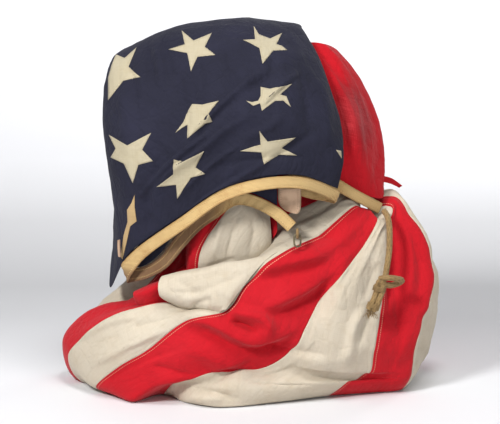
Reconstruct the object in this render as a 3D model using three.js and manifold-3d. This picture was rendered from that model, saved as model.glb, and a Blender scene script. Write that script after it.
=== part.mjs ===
// An old roped ensign, bundled: its canton is a hood over the stripes, which fan out from one pinch.
// Millimetres, +Z up, the hoist tape to the front (-Y), origin under the middle of the bundle.
import * as THREE from 'three';
import { mergeVertices } from 'three/addons/utils/BufferGeometryUtils.js';
import Module from 'manifold-3d';

const wasm = await Module();
wasm.setup();

// ---------------------------------------------------------------- driving dimensions
const CLOTH = 2.0;          // thickness of a sheet
const TAPE = 2.4;           // thickness of the canvas heading
const SEAM_GAP = 0.8;       // clear space between neighbouring pieces
const FLOOR = CLOTH / 2;    // height of the middle of a sheet that lies on the ground
const ROPE = 9.5;           // rope diameter
const RING_WIRE = 3;        // wire of the metal ring
const RING_WIDE = 13;
const RING_TALL = 22;
const EYE_CORD = 4.4;       // the rope eye that holds the ring
const EYE_WIDE = 15;
const EYE_TALL = 17;
const WHIPPING = 12;        // the frayed, whipped end
const HITCH_STEPS = 8;
const MIDDLE = [0.7, 6.1];  // middle of the bundle, in the frame that the guides are drawn in

// ---------------------------------------------------------------- curves and sheets
function catmull(p, t) {
  const i = Math.min(Math.floor(t), p.length - 2);
  const f = t - i;
  const a = p[Math.max(i - 1, 0)];
  const b = p[i];
  const c = p[i + 1];
  const d = p[Math.min(i + 2, p.length - 1)];
  return b.map((_, k) => 0.5 * (2 * b[k] + (c[k] - a[k]) * f
    + (2 * a[k] - 5 * b[k] + 4 * c[k] - d[k]) * f * f
    + (3 * b[k] - a[k] - 3 * c[k] + d[k]) * f * f * f));
}

// A smooth surface through guide curves: s runs along a guide, v from guide to guide.
function surface(guides, floor = -Infinity) {
  return (s, v) => {
    const p = catmull(guides.map((g) => catmull(g, s)), v);
    return new THREE.Vector3(p[0], p[1], Math.max(p[2], floor));
  };
}

function normalAt(point, s, v, sEnd, vEnd) {
  const h = 0.04;
  const ds = point(Math.min(s + h, sEnd), v).sub(point(Math.max(s - h, 0), v));
  const dv = point(s, Math.min(v + h, vEnd)).sub(point(s, Math.max(v - h, 0)));
  return ds.cross(dv).normalize();
}

// A closed slab on part of a surface, with its edges drawn in by half a seam gap, square to the seam.
function slab(guides, { v = [0, guides.length - 1], s = [0, guides[0].length - 1], across = 4, along = 20,
  thick = CLOTH, floor = -Infinity } = {}) {
  const point = surface(guides, floor);
  const sEnd = guides[0].length - 1;
  const vEnd = guides.length - 1;
  const rows = [];
  for (let i = 0; i <= along; i++) {
    const row = [];
    for (let j = 0; j <= across; j++) {
      const si = s[0] + (s[1] - s[0]) * i / along;
      const vj = v[0] + (v[1] - v[0]) * j / across;
      row.push({ at: point(si, vj), out: normalAt(point, si, vj, sEnd, vEnd) });
    }
    const si = s[0] + (s[1] - s[0]) * i / along;
    for (const [end, next] of [[0, 1], [across, across - 1]]) {
      const vj = v[0] + (v[1] - v[0]) * end / across;
      const edge = point(Math.min(si + 0.04, sEnd), vj).sub(point(Math.max(si - 0.04, 0), vj)).normalize();
      const inward = row[next].at.clone().sub(row[end].at);
      inward.addScaledVector(edge, -inward.dot(edge));
      row[end].moved = row[end].at.clone().addScaledVector(inward.normalize(), SEAM_GAP / 2);
    }
    rows.push(row);
  }
  const position = [];
  for (const side of [-1, 1]) {
    for (const row of rows) {
      for (const q of row) {
        position.push(...(q.moved ?? q.at).clone().addScaledVector(q.out, side * thick / 2).toArray());
      }
    }
  }
  const index = [];
  const wide = across + 1;
  const half = (along + 1) * wide;
  const quad = (a, b, c, d) => index.push(a, b, c, a, c, d);
  for (let i = 0; i < along; i++) {
    for (let j = 0; j < across; j++) {
      const a = i * wide + j;
      quad(a, a + 1, a + wide + 1, a + wide);
      quad(half + a, half + a + wide, half + a + wide + 1, half + a + 1);
    }
  }
  for (let j = 0; j < across; j++) {
    const last = along * wide + j;
    quad(j, half + j, half + j + 1, j + 1);
    quad(last, last + 1, half + last + 1, half + last);
  }
  for (let i = 0; i < along; i++) {
    const a = i * wide;
    const b = a + across;
    quad(a, a + wide, half + a + wide, half + a);
    quad(b, half + b, half + b + wide, b + wide);
  }
  return closed(position, index);
}

function closed(position, index) {
  const geometry = new THREE.BufferGeometry();
  geometry.setAttribute('position', new THREE.Float32BufferAttribute(position, 3));
  geometry.setIndex(index);
  return geometry;
}

// ---------------------------------------------------------------- joining with manifold-3d
function toSolid(geometry) {
  const bare = geometry.clone();
  bare.deleteAttribute('normal');
  bare.deleteAttribute('uv');
  const merged = mergeVertices(bare, 1e-3);
  const solid = new wasm.Manifold(new wasm.Mesh({ numProp: 3,
    vertProperties: new Float32Array(merged.attributes.position.array),
    triVerts: new Uint32Array(merged.index.array) }));
  return solid.volume() < 0 ? turned(merged) : solid;
}

function turned(merged) {
  const index = Uint32Array.from(merged.index.array);
  for (let i = 0; i < index.length; i += 3) [index[i], index[i + 1]] = [index[i + 1], index[i]];
  return new wasm.Manifold(new wasm.Mesh({ numProp: 3,
    vertProperties: new Float32Array(merged.attributes.position.array), triVerts: index }));
}

function toGeometry(solid) {
  const mesh = solid.getMesh();
  return closed(Array.from(mesh.vertProperties), Array.from(mesh.triVerts));
}

function joined(...geometries) {
  return toGeometry(geometries.map(toSolid).reduce((all, one) => all.add(one)));
}

// ---------------------------------------------------------------- the canton, a hood
// Each guide rises from the heading, goes over the top and down the back; left side first.
const hoodGuides = [
  [[-226, 36, 202], [-225, 39, 210], [-224, 42, 217], [-223, 46, 222], [-222, 51, 226], [-222, 56, 227],
    [-221, 61, 225], [-220, 65, 221], [-219, 69, 216], [-218, 72, 211], [-217, 75, 206]],
  [[-226, 10, 192], [-224, 18, 222], [-222, 27, 250], [-221, 36, 272], [-220, 46, 285], [-219, 56, 288],
    [-218, 66, 284], [-216, 75, 272], [-214, 82, 256], [-213, 88, 240], [-212, 93, 224]],
  [[-225, -22, 186], [-221, -12, 230], [-219, 0, 285], [-221, 14, 335], [-222, 30, 368], [-220, 46, 380],
    [-216, 62, 374], [-213, 76, 352], [-211, 88, 324], [-209, 98, 290], [-207, 105, 254]],
  [[-222, -62, 166], [-214, -52, 230], [-212, -42, 300], [-219, -25, 380], [-224, -5, 440], [-220, 20, 478],
    [-214, 45, 490], [-209, 68, 474], [-206, 90, 434], [-205, 104, 372], [-204, 114, 292]],
  [[-196, -112, 222], [-207, -100, 285], [-219, -90, 348], [-229, -76, 412], [-231, -52, 468], [-224, -20, 514],
    [-216, 24, 528], [-211, 64, 508], [-209, 94, 458], [-209, 112, 394], [-209, 120, 320]],
  [[-168, -132, 252], [-178, -138, 302], [-187, -138, 360], [-193, -126, 425], [-194, -96, 486],
    [-187, -48, 534], [-181, 14, 550], [-178, 68, 528], [-178, 110, 474], [-178, 132, 404], [-178, 142, 330]],
  [[-107, -160, 299], [-112, -164, 346], [-117, -159, 406], [-121, -139, 466], [-124, -99, 524],
    [-126, -42, 565], [-127, 26, 573], [-127, 84, 547], [-127, 130, 488], [-127, 154, 415], [-127, 166, 338]],
  [[-45, -176, 344], [-48, -178, 386], [-50, -170, 440], [-53, -144, 497], [-55, -99, 548], [-57, -38, 582],
    [-58, 34, 585], [-58, 94, 556], [-58, 144, 495], [-58, 170, 420], [-58, 182, 344]],
  [[22, -180, 364], [18, -180, 406], [14, -170, 456], [10, -141, 510], [6, -95, 555], [2, -35, 586],
    [0, 36, 587], [0, 96, 556], [0, 146, 495], [0, 174, 420], [0, 186, 345]],
  [[82, -160, 362], [84, -158, 403], [82, -147, 453], [76, -119, 506], [68, -75, 550], [58, -22, 580],
    [55, 40, 581], [55, 96, 552], [55, 143, 494], [55, 169, 420], [55, 181, 346]],
  [[136, -120, 336], [145, -117, 378], [143, -106, 416], [131, -85, 470], [110, -50, 530], [84, -8, 574],
    [84, 46, 573], [86, 99, 545], [88, 142, 490], [90, 167, 420], [90, 178, 346]],
  [[120, -110, 344], [129, -107, 379], [127, -96, 414], [115, -75, 465], [97, -43, 523], [74, -6, 562],
    [72, 42, 562], [74, 91, 536], [76, 132, 485], [78, 157, 420], [78, 168, 348]],
];

// The layer that turns back inside the hood, from the inner run of the heading upwards.
const innerGuides = [
  [[43, -145, 313], [42, -139, 350], [40, -128, 390], [36, -112, 425]],
  [[3, -141, 332], [2, -138, 365], [0, -130, 400], [-3, -115, 435]],
  [[-29, -145, 334], [-32, -142, 365], [-36, -133, 398], [-40, -118, 430]],
  [[-66, -144, 309], [-73, -141, 340], [-72, -133, 375], [-76, -118, 410]],
  [[-95, -141, 288], [-105, -137, 318], [-105, -130, 352], [-110, -115, 390]],
  [[-119, -135, 263], [-129, -129, 292], [-132, -120, 326], [-138, -105, 365]],
  [[-141, -125, 232], [-151, -117, 264], [-158, -107, 302], [-165, -92, 342]],
  [[-168, -110, 210], [-176, -102, 245], [-184, -92, 286], [-190, -76, 328]],
  [[-190, -94, 208], [-196, -84, 238], [-202, -72, 278], [-206, -60, 318]],
  [[-210, -66, 212], [-214, -54, 240], [-215, -44, 275], [-218, -36, 315]],
];

// ---------------------------------------------------------------- the stripes, one fan round the bundle
// Each guide starts at the pinch, comes down the bundle and turns under it. A seam guide lies between two
// stripes, a ridge guide along the middle of one, and a free guide along a loose edge.
const free13 = [[165, 62, 300], [206, 98, 300], [222, 126, 270], [223, 150, 226], [217, 166, 178],
  [209, 175, 130], [201, 179, 86], [195, 179, 54], [190, 177, 28], [184, 171, 8], [176, 162, 1], [140, 125, 1]];
const seam12to13 = [[184, 20, 298], [229, 26, 303], [256, 38, 266], [276, 48, 218], [292, 54, 168],
  [296, 56, 118], [291, 56, 78], [284, 54, 50], [276, 52, 26], [266, 50, 8], [254, 46, 1], [190, 30, 1]];
const ridge12 = [[188, 2, 302], [233, -2, 314], [262, -2, 274], [286, 0, 226], [302, 0, 174],
  [304, 0, 122], [298, 0, 78], [289, 0, 50], [280, 0, 26], [269, 0, 8], [256, 0, 1], [200, 0, 1]];
const seam11to12 = [[188, -8, 298], [234, -20, 306], [256, -44, 282], [276, -54, 238], [288, -68, 182],
  [278, -92, 130], [260, -108, 84], [255, -98, 46], [256, -94, 26], [248, -84, 8], [236, -74, 1], [178, -40, 1]];
const ridge11 = [[189, -14, 292], [230, -34, 300], [238, -58, 268], [247, -72, 222], [248, -92, 172],
  [243, -112, 122], [234, -122, 80], [224, -110, 44], [212, -116, 26], [202, -102, 8], [190, -92, 1],
  [140, -50, 1]];
const seam10to11 = [[190, -20, 285], [227, -44, 294], [224, -80, 262], [221, -100, 215], [213, -116, 172],
  [204, -130, 125], [197, -137, 84], [186, -122, 42], [154, -136, 27], [132, -126, 9], [120, -112, 1],
  [90, -60, 1]];
const ridge10 = [[186, -34, 266], [219, -66, 282], [207, -91, 256], [192, -116, 210], [176, -136, 165],
  [160, -150, 118], [142, -156, 78], [118, -146, 46], [82, -166, 32], [54, -162, 10], [38, -150, 1],
  [32, -90, 1]];
const lip10 = [[184, -40, 262], [212, -71, 278], [192, -101, 250], [165, -129, 208], [140, -151, 162],
  [118, -162, 118], [92, -164, 78], [62, -156, 52], [-10, -184, 40], [-44, -188, 12], [-56, -176, 1],
  [-46, -100, 1]];
const seam9to10 = [[184, -45, 263], [203, -73, 279], [180, -106, 243], [142, -133, 200], [108, -151, 160],
  [86, -163, 122], [69, -166, 90], [22, -163, 59], [-43, -173, 56], [-105, -164, 37], [-136, -112, 3],
  [-112, -62, 1]];
const ridge9 = [[183, -49, 274], [190, -64, 290], [148, -116, 254], [98, -147, 218], [52, -171, 172],
  [22, -182, 130], [-28, -184, 104], [-82, -180, 80], [-138, -168, 50], [-172, -164, 22], [-184, -150, 1],
  [-148, -88, 1]];
const seam8to9 = [[178, -50, 280], [166, -81, 301], [112, -115, 264], [54, -148, 238], [-5, -170, 195],
  [-37, -176, 152], [-100, -166, 134], [-160, -158, 86], [-206, -142, 55], [-244, -106, 14], [-216, -86, 1],
  [-162, -58, 1]];
const ridge8 = [[177, -46, 290], [157, -68, 311], [106, -92, 286], [42, -112, 255], [-26, -128, 186],
  [-62, -148, 150], [-122, -156, 147], [-186, -146, 114], [-236, -116, 76], [-274, -72, 28], [-242, -55, 1],
  [-180, -42, 1]];
const seam7to8 = [[176, -46, 302], [148, -54, 319], [100, -66, 303], [30, -75, 265], [-50, -90, 183],
  [-88, -122, 152], [-144, -138, 155], [-205, -119, 133], [-252, -87, 99], [-293, -45, 50], [-270, -30, 1],
  [-192, -20, 1]];
const ridge7 = [[172, -38, 308], [140, -36, 334], [80, -46, 328], [5, -58, 300], [-75, -76, 228],
  [-118, -98, 164], [-176, -98, 152], [-232, -66, 136], [-277, -40, 106], [-305, -14, 62], [-284, -4, 1],
  [-200, 0, 1]];
const seam6to7 = [[168, -22, 318], [130, -18, 348], [60, -26, 350], [-20, -40, 330], [-95, -54, 268],
  [-140, -56, 196], [-192, -46, 146], [-244, -22, 122], [-282, 6, 92], [-301, 20, 50], [-276, 25, 1],
  [-196, 22, 1]];
const ridge6 = [[166, 4, 330], [118, 10, 368], [52, 12, 375], [-20, 10, 360], [-92, 8, 310],
  [-143, 12, 246], [-184, 22, 168], [-228, 42, 112], [-262, 62, 84], [-280, 70, 46], [-258, 72, 1],
  [-186, 58, 1]];
const seam5to6 = [[160, 30, 342], [105, 42, 385], [45, 52, 395], [-20, 62, 385], [-85, 72, 345],
  [-138, 80, 284], [-170, 90, 200], [-200, 102, 126], [-224, 112, 84], [-236, 116, 44], [-220, 112, 1],
  [-165, 90, 1]];
const seam4to5 = [[154, 56, 350], [105, 82, 392], [55, 100, 400], [5, 118, 388], [-50, 134, 350],
  [-90, 148, 298], [-118, 158, 236], [-138, 164, 172], [-150, 168, 115], [-154, 168, 52], [-142, 160, 1],
  [-108, 125, 1]];
const seam3to4 = [[156, 70, 350], [118, 100, 386], [80, 128, 386], [40, 152, 366], [5, 168, 328],
  [-22, 180, 280], [-42, 188, 225], [-55, 193, 168], [-62, 195, 110], [-65, 194, 52], [-60, 186, 1],
  [-48, 148, 1]];
const seam2to3 = [[162, 76, 344], [140, 115, 366], [115, 146, 358], [90, 168, 332], [68, 182, 296],
  [50, 190, 252], [38, 195, 205], [30, 198, 155], [25, 199, 105], [22, 198, 52], [20, 190, 1], [15, 150, 1]];
const seam1to2 = [[160, 78, 322], [160, 114, 326], [155, 146, 320], [145, 166, 292], [135, 178, 254],
  [125, 185, 212], [118, 188, 168], [112, 190, 125], [108, 190, 80], [105, 188, 42], [100, 182, 1],
  [85, 145, 1]];
const free1 = [[158, 66, 286], [180, 88, 266], [198, 110, 240], [210, 128, 216], [211, 138, 172],
  [208, 144, 128], [204, 146, 88], [200, 146, 56], [196, 144, 32], [190, 140, 16], [180, 132, 10],
  [158, 108, 9]];
const fan = [free13, seam12to13, ridge12, seam11to12, ridge11, seam10to11, ridge10, lip10, seam9to10,
  ridge9, seam8to9, ridge8, seam7to8, ridge7, seam6to7, ridge6, seam5to6, seam4to5, seam3to4, seam2to3,
  seam1to2, free1];

// The white roll that flops over the foot, and the red end that shows at its left.
const rollGuides = [
  [[-130, -126, 194], [-136, -138, 200], [-141, -150, 194], [-142, -157, 184], [-140, -155, 173],
    [-134, -143, 164]],
  [[-99, -130, 198], [-101, -144, 210], [-102, -160, 205], [-102, -172, 186], [-102, -170, 165],
    [-100, -146, 148]],
  [[-42, -140, 200], [-43, -150, 220], [-45, -164, 219], [-47, -181, 192], [-50, -185, 164],
    [-53, -172, 149]],
  [[4, -146, 222], [2, -154, 231], [-6, -166, 225], [-20, -180, 196], [-35, -187, 170], [-44, -185, 155]],
  [[46, -146, 242], [40, -154, 240], [20, -164, 225], [-8, -175, 194], [-27, -184, 170], [-36, -187, 158]],
];
const redRollGuides = [
  [[-168, -96, 168], [-176, -112, 172], [-182, -123, 171], [-182, -128, 165], [-178, -120, 152]],
  [[-150, -96, 180], [-157, -116, 182], [-163, -133, 178], [-164, -140, 170], [-158, -124, 144]],
  [[-122, -94, 190], [-128, -114, 193], [-134, -128, 190], [-137, -134, 180], [-130, -118, 148]],
  [[-94, -84, 210], [-100, -102, 212], [-108, -112, 204], [-112, -116, 190], [-106, -104, 152]],
  [[-82, -82, 214], [-86, -98, 215], [-92, -110, 206], [-96, -114, 192], [-94, -102, 158]],
];

// The puff inside the mouth: a red edge, the white stripe, and its dark red right edge.
const puffGuides = [
  [[-100, -102, 192], [-100, -108, 216], [-99, -112, 238], [-93, -116, 264], [-78, -120, 290], [-56, -116, 316]],
  [[-93, -116, 188], [-93, -122, 214], [-90, -127, 235], [-79, -131, 260], [-58, -132, 286], [-34, -124, 316]],
  [[-62, -120, 180], [-64, -130, 214], [-62, -135, 240], [-52, -138, 264], [-36, -138, 288], [-18, -126, 316]],
  [[-26, -124, 176], [-28, -133, 212], [-28, -137, 240], [-22, -140, 264], [-12, -138, 286], [0, -124, 312]],
  [[14, -108, 196], [16, -122, 222], [18, -128, 240], [20, -130, 258], [20, -128, 278], [20, -114, 302]],
  [[24, -98, 210], [28, -112, 228], [33, -118, 244], [34, -120, 258], [33, -118, 274], [31, -106, 296]],
];
const darkEdgeGuides = [
  [[22, -95, 249.5], [27, -106, 252.5], [30, -109, 259], [30, -107, 268], [29, -103, 278], [26, -94, 292]],
  [[31, -104, 256], [37, -111, 259], [42, -113, 266], [43, -111, 275], [41, -105, 285], [34, -92, 299]],
  [[16, -64, 272], [18, -62, 280], [20, -60, 288], [20, -58, 296], [18, -56, 304], [14, -54, 312]],
];

// Stripe 13 rises behind the fold of the canton and goes over to the back.
const redHoodGuides = [
  [[117, -94, 346], [122, -93, 388], [119, -84, 420], [108, -64, 464], [92, -40, 506], [72, -16, 538],
    [54, 0, 550]],
  [[170, -75, 322], [176, -76, 366], [174, -72, 412], [161, -58, 460], [138, -38, 506], [106, -14, 542],
    [72, 4, 550]],
  [[211, -42, 307], [210, -30, 350], [204, -12, 405], [191, 0, 450], [165, 6, 504], [126, 8, 548],
    [88, 12, 550]],
  [[214, 0, 326], [213, 25, 356], [206, 45, 400], [191, 58, 442], [167, 66, 488], [134, 70, 525],
    [100, 66, 532]],
  [[208, 60, 296], [203, 84, 345], [196, 102, 390], [183, 115, 428], [156, 122, 465], [128, 120, 494],
    [104, 108, 508]],
  [[182, 106, 312], [174, 126, 352], [161, 140, 392], [145, 148, 422], [126, 150, 450], [109, 142, 475],
    [98, 127, 488]],
  [[128, 150, 392], [122, 154, 406], [113, 154, 420], [104, 151, 434], [97, 144, 449], [92, 134, 464],
    [90, 122, 478]],
];

// A loose corner of the same stripe that sticks out at the right of the pinch.
const tipGuides = [
  [[208, -26, 342], [229, -8, 334], [247, 4, 320]],
  [[208, -26, 332], [227, -8, 325], [242, 4, 316.5]],
];

// ---------------------------------------------------------------- the canvas heading
// Pairs of points on its two edges, from the ring end, back along the inside, round the left fold,
// along the front of the hood, under at the right fold and down to the rope end.
const headingEdges = [
  [[72, -154, 288], [59, -154, 274]], [[45, -148, 311], [33, -148, 296]], [[3, -142, 330], [1, -144, 311]],
  [[-29, -146, 332], [-23, -148, 313]], [[-64, -145, 307], [-49, -148, 295]],
  [[-93, -142, 286], [-76, -146, 275]], [[-117, -136, 260], [-100, -140, 248]],
  [[-139, -126, 229], [-129, -130, 212]], [[-166, -112, 210], [-160, -117, 192]],
  [[-188, -100, 206], [-183, -108, 185]], [[-201, -103, 208], [-191, -116, 186]],
  [[-197, -115, 220], [-180, -121, 206]], [[-168, -134, 250], [-157, -137, 234]],
  [[-107, -162, 297], [-98, -166, 281]], [[-45, -178, 342], [-40, -182, 325]],
  [[22, -182, 362], [22, -185, 344]], [[82, -162, 360], [80, -165, 342]],
  [[130, -124, 338], [124, -128, 321]], [[141, -111, 328], [133, -113, 311]],
  [[126, -101, 330], [118, -104, 313]], [[98, -116, 337], [94, -121, 320]],
  [[70, -128, 347], [68, -133, 330]], [[50, -126, 354], [50, -130, 337]], [[62, -112, 356], [60, -114, 339]],
  [[92, -103, 358], [88, -104, 341]], [[118, -100, 357], [112, -101, 340]],
  [[142, -94, 345], [136, -95, 328]], [[168, -84, 328], [162, -86, 312]], [[212, -49, 300], [205, -52, 284]],
];

// ---------------------------------------------------------------- rope, ring and tabs
const ropePath = [[213, -64, 291], [218, -80, 284], [220, -96, 271], [220, -106, 253], [219, -114, 234],
  [216, -122, 216], [213, -130, 200]];
const hitchPaths = [
  [[202, -139, 196], [214, -146, 199], [228, -143, 197], [238, -132, 192], [234, -124, 186], [222, -136, 185],
    [208, -143, 188], [198, -147, 194]],
  [[199, -146, 190], [198, -150, 180], [194, -153, 168], [189, -156, 158], [184, -158, 150]],
  [[208, -146, 188], [206, -151, 178], [202, -154, 166], [197, -156, 155], [191, -157, 147]],
  [[176, -156, 148], [184, -160, 144], [194, -160, 141], [202, -155, 140]],
];
const eyeAt = [74, -157, 271];
const ringAt = [74, -157, 260];

const tabGuides = [
  [[44, -134, 338], [44, -136, 324], [47, -137, 312], [56, -138, 304]],
  [[62, -136, 338], [61, -138, 322], [61, -140, 308], [64, -141, 301]],
  [[80, -134, 338], [80, -137, 322], [79, -140, 306], [74, -142, 299]],
];
const smallTabGuides = [
  [[-207, -112, 252], [-207, -112, 238], [-206, -112, 226]],
  [[-203, -116, 254], [-203, -117, 240], [-202, -118, 226]],
];

function ropeAlong(points, steps, wide = ROPE) {
  const section = new THREE.Shape();
  for (let i = 0; i < 8; i++) {
    const turn = i * Math.PI / 4;
    const [x, y] = [wide / 2 * Math.cos(turn), wide / 2 * Math.sin(turn)];
    if (i === 0) section.moveTo(x, y);
    else section.lineTo(x, y);
  }
  section.closePath();
  const path = new THREE.CatmullRomCurve3(points.map((p) => new THREE.Vector3(...p)));
  return new THREE.ExtrudeGeometry(section, { steps, extrudePath: path, bevelEnabled: false });
}

// A link: a ring whose two halves are drawn apart along Z. It faces -Y, or X when turned.
function link(wide, tall, wire, at, turned = false) {
  const geometry = new THREE.TorusGeometry((wide - wire) / 2, wire / 2, 8, 16).rotateX(Math.PI / 2);
  const z = geometry.attributes.position;
  for (let i = 0; i < z.count; i++) {
    if (Math.abs(z.getZ(i)) > 1e-3) z.setZ(i, z.getZ(i) + Math.sign(z.getZ(i)) * (tall - wide) / 2);
  }
  if (turned) geometry.rotateZ(Math.PI / 2);
  return geometry.translate(...at);
}

// ---------------------------------------------------------------- the group
const flag = new THREE.Group();

function add(name, geometry, colour, roughness = 0.9, metalness = 0) {
  const material = new THREE.MeshStandardMaterial({ color: colour, roughness, metalness });
  const mesh = new THREE.Mesh(geometry, material);
  mesh.name = name;
  flag.add(mesh);
}

const NAVY = 0x2b2e42;
const RED = 0xc8242f;
const WHITE = 0xe0d8c6;
const CANVAS = 0xdcbc86;
const HEMP = 0xa3855a;
const TAN = 0xb09478;

function panel(first, last, options = {}) {
  const [from, to] = [fan.indexOf(first), fan.indexOf(last)];
  return slab(fan, { v: [from, to], across: to - from > 2 ? 5 : 3, along: 22, floor: FLOOR, ...options });
}

add('canton', joined(slab(hoodGuides, { across: 18, along: 16 }), slab(innerGuides, { across: 12, along: 4 })),
  NAVY);
const stripes = {
  13: joined(panel(free13, seam12to13, { across: 4 }), slab(redHoodGuides, { across: 10, along: 12 }),
    slab(tipGuides, { across: 1, along: 4 })),
  12: panel(seam12to13, seam11to12),
  11: panel(seam11to12, seam10to11),
  10: panel(seam10to11, seam9to10),
  9: panel(seam9to10, seam8to9),
  8: joined(panel(seam8to9, seam7to8), slab(rollGuides, { across: 7, along: 10 }),
    slab(puffGuides, { v: [1, 5], across: 8, along: 8 })),
  7: joined(panel(seam7to8, seam6to7), slab(redRollGuides, { across: 6, along: 7 }),
    slab(puffGuides, { v: [0, 1], across: 2, along: 8 }), slab(darkEdgeGuides, { across: 4, along: 6 })),
  6: panel(seam6to7, seam5to6),
  5: panel(seam5to6, seam4to5, { across: 2 }),
  4: panel(seam4to5, seam3to4, { across: 2 }),
  3: panel(seam3to4, seam2to3, { across: 2 }),
  2: panel(seam2to3, seam1to2, { across: 2 }),
  1: panel(seam1to2, free1, { across: 2 }),
};
for (const [number, geometry] of Object.entries(stripes)) {
  const red = number % 2 === 1;
  add(`stripe_${String(number).padStart(2, '0')}_${red ? 'red' : 'white'}`, geometry, red ? RED : WHITE);
}

const headingGuides = [headingEdges.map((e) => e[0]), headingEdges.map((e) => e[1])];
add('heading', slab(headingGuides, { across: 2, along: 56, thick: TAPE }), CANVAS);
add('tab', slab(tabGuides, { across: 4, along: 6 }), TAN);
add('small_tab', slab(smallTabGuides, { across: 1, along: 3, thick: 1.5 }), TAN);
add('eye', link(EYE_WIDE, EYE_TALL, EYE_CORD, eyeAt, true), HEMP);
add('ring', link(RING_WIDE, RING_TALL, RING_WIRE, ringAt), 0x8d8672, 0.4, 1);
add('tail_rope', ropeAlong(ropePath, 8), HEMP);
add('rope_hitch', joined(...hitchPaths.map((path, i) => ropeAlong(path, HITCH_STEPS, i < 3 ? ROPE : WHIPPING))), HEMP);

flag.position.set(-MIDDLE[0], -MIDDLE[1], 0);

export default flag;
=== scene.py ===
"""A worn, roped ensign in a bundle: canton hood, thirteen fanned stripes, canvas heading, rope tail and ring.

Metres, +Z up. Every sheet is a fine grid laid on guide curves, then given its listed creases.
"""
import math
import random

import bmesh
import bpy
import numpy as np
from mathutils import Matrix, Vector
from mathutils.bvhtree import BVHTree


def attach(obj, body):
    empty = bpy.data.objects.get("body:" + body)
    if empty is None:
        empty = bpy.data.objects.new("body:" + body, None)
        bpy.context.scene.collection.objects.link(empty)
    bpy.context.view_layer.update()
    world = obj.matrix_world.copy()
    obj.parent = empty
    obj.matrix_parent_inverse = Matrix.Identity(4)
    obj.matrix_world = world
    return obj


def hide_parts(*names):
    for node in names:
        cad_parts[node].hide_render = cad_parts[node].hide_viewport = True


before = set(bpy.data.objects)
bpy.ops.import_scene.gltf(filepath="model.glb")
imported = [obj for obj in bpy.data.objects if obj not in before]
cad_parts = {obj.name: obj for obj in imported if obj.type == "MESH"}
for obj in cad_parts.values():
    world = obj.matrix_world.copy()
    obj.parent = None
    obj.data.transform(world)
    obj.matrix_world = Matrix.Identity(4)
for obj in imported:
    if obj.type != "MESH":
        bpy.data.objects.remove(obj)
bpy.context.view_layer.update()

bl_info = {
    "name": "Bundled ensign",
    "version": (1, 0, 0),
    "blender": (4, 5, 0),
    "location": "3D View > Sidebar > Ensign",
    "description": "Lays the cloth, heading, rope and ring of a bundled ensign on its frame",
    "category": "Object",
}

# ---------------------------------------------------------------- sizes that the guides were drawn to
MILLI = 0.001
MIDDLE = np.array([0.7, 6.1, 0.0])   # middle of the bundle, in the frame that the guides are drawn in
VIEW_TARGET = Vector((0.0, -0.05, 0.285))
VIEW_RANGE = 3.33
VIEW_ELEVATION = math.radians(10)
BOARD_BASE = 0.3056                  # height of the view target on the setting-out board
HOOD_INWARD = -0.0008                # how far the hood's back may sink towards the stripes under it, m
LAP_STEEP = 0.28                     # width of the steep side of a lapped fold, as a share of its gentle side
VALLEY_ROUND = 1.6                   # radius at the bottom of a trough, mm
STITCH_ROW = 0.0048                  # from an edge of the bunting to its row of stitches, m
TAPE_ROW = 0.0046                    # the same on the canvas tape
ROPE_STRANDS = 6                     # strands each way in the braid
ROPE_PITCH = 0.013                   # length of one turn of a strand, m
STAR_REACH = 40                      # middle of an even star to its tips, mm
STAR_THICK = 0.0005                  # thickness of a star's cloth, m
STAR_PROUD = 0.0009                  # middle of a star's cloth over the middle of the navy cloth, m
STAR_TURN_IN = 0.0024                # cloth turned in at a star's rim; the stitches lie nearer to it by this, m
STAR_FALLBACK = 3.2                  # distance along a ray that meets no cloth, before any has met it, m
LAID = 1.0                           # mark of a star's points that are already on the cloth

# Cut lengths of the thirteen stripes that are in this bundle's folds, 88 mm wide each.
STRIPE_LENGTHS = {1: 0.41, 2: 0.39, 3: 0.43, 4: 0.48, 5: 0.57, 6: 0.95, 7: 0.80, 8: 0.90, 9: 0.62, 10: 0.68,
                  11: 0.38, 12: 0.60, 13: 1.48}
TAB_FLAT = (0.034, 0.04)
SMALL_TAB_FLAT = (0.01, 0.027)
TAB_THICK = 0.0012
GROUND_GAP = 0.0002                  # the lowest cloth's underside over the ground, m
WORN_PLACE = ((0.165, -0.06, 0.442), 0.085)   # middle and reach of the thin place in stripe 13, m

# Heights of the plain handling creases, m. Those of the fan are for its back and for its front.
HOOD_CRUMPLE, HOOD_FOLD = 0.0015, 0.0024
RED_CRUMPLE, RED_FOLD, RED_SINK = 0.0014, 0.0021, 0.002
FAN_CRUMPLE, FAN_FOLD = (0.0016, 0.0007), (0.0040, 0.0005)
PUCKER_LENGTH, PUCKER_TOP, PUCKER_MORE = 0.0125, 0.0003, 0.0006   # of the tape; PUCKER_MORE at its lower edge

# The stage: each lamp's place, what it points at, its width in metres and its power in watts.
LAMPS = {
    "key": ((-1.4, -2.1, 2.1), (0, 0, 0.25), 0.7, 84),
    "fill": ((2.0, -2.8, 0.9), (0, 0, 0.2), 1.5, 20),
    "top": ((0.3, -0.9, 2.7), (0, 0, 0.2), 0.9, 34),
    "back": ((1.9, 2.1, 1.3), (0, 0, 0.25), 0.8, 20),
    "wall": ((0.0, 1.0, 2.6), (0, 3.8, 2.0), 2.6, 90),
}
AIR_COLOUR, AIR_STRENGTH = (0.93, 0.96, 1.0, 1), 0.24
LENS, SENSOR = 150, 36               # mm
PAPER_WIDE, PAPER_FRONT, PAPER_BACK, COVE_RADIUS, PAPER_HIGH = 14, -9.0, 2.6, 1.2, 4.0


def srgb(red, green, blue):
    """A colour chosen on the usual 0 to 255 scale, as linear light."""
    return tuple(((c / 255 + 0.055) / 1.055) ** 2.4 if c > 10 else c / 255 / 12.92 for c in (red, green, blue))


def shade(colour, share):
    """The colour with each part of its light multiplied by a share."""
    return tuple(min(1, c * share) for c in colour)


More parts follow.
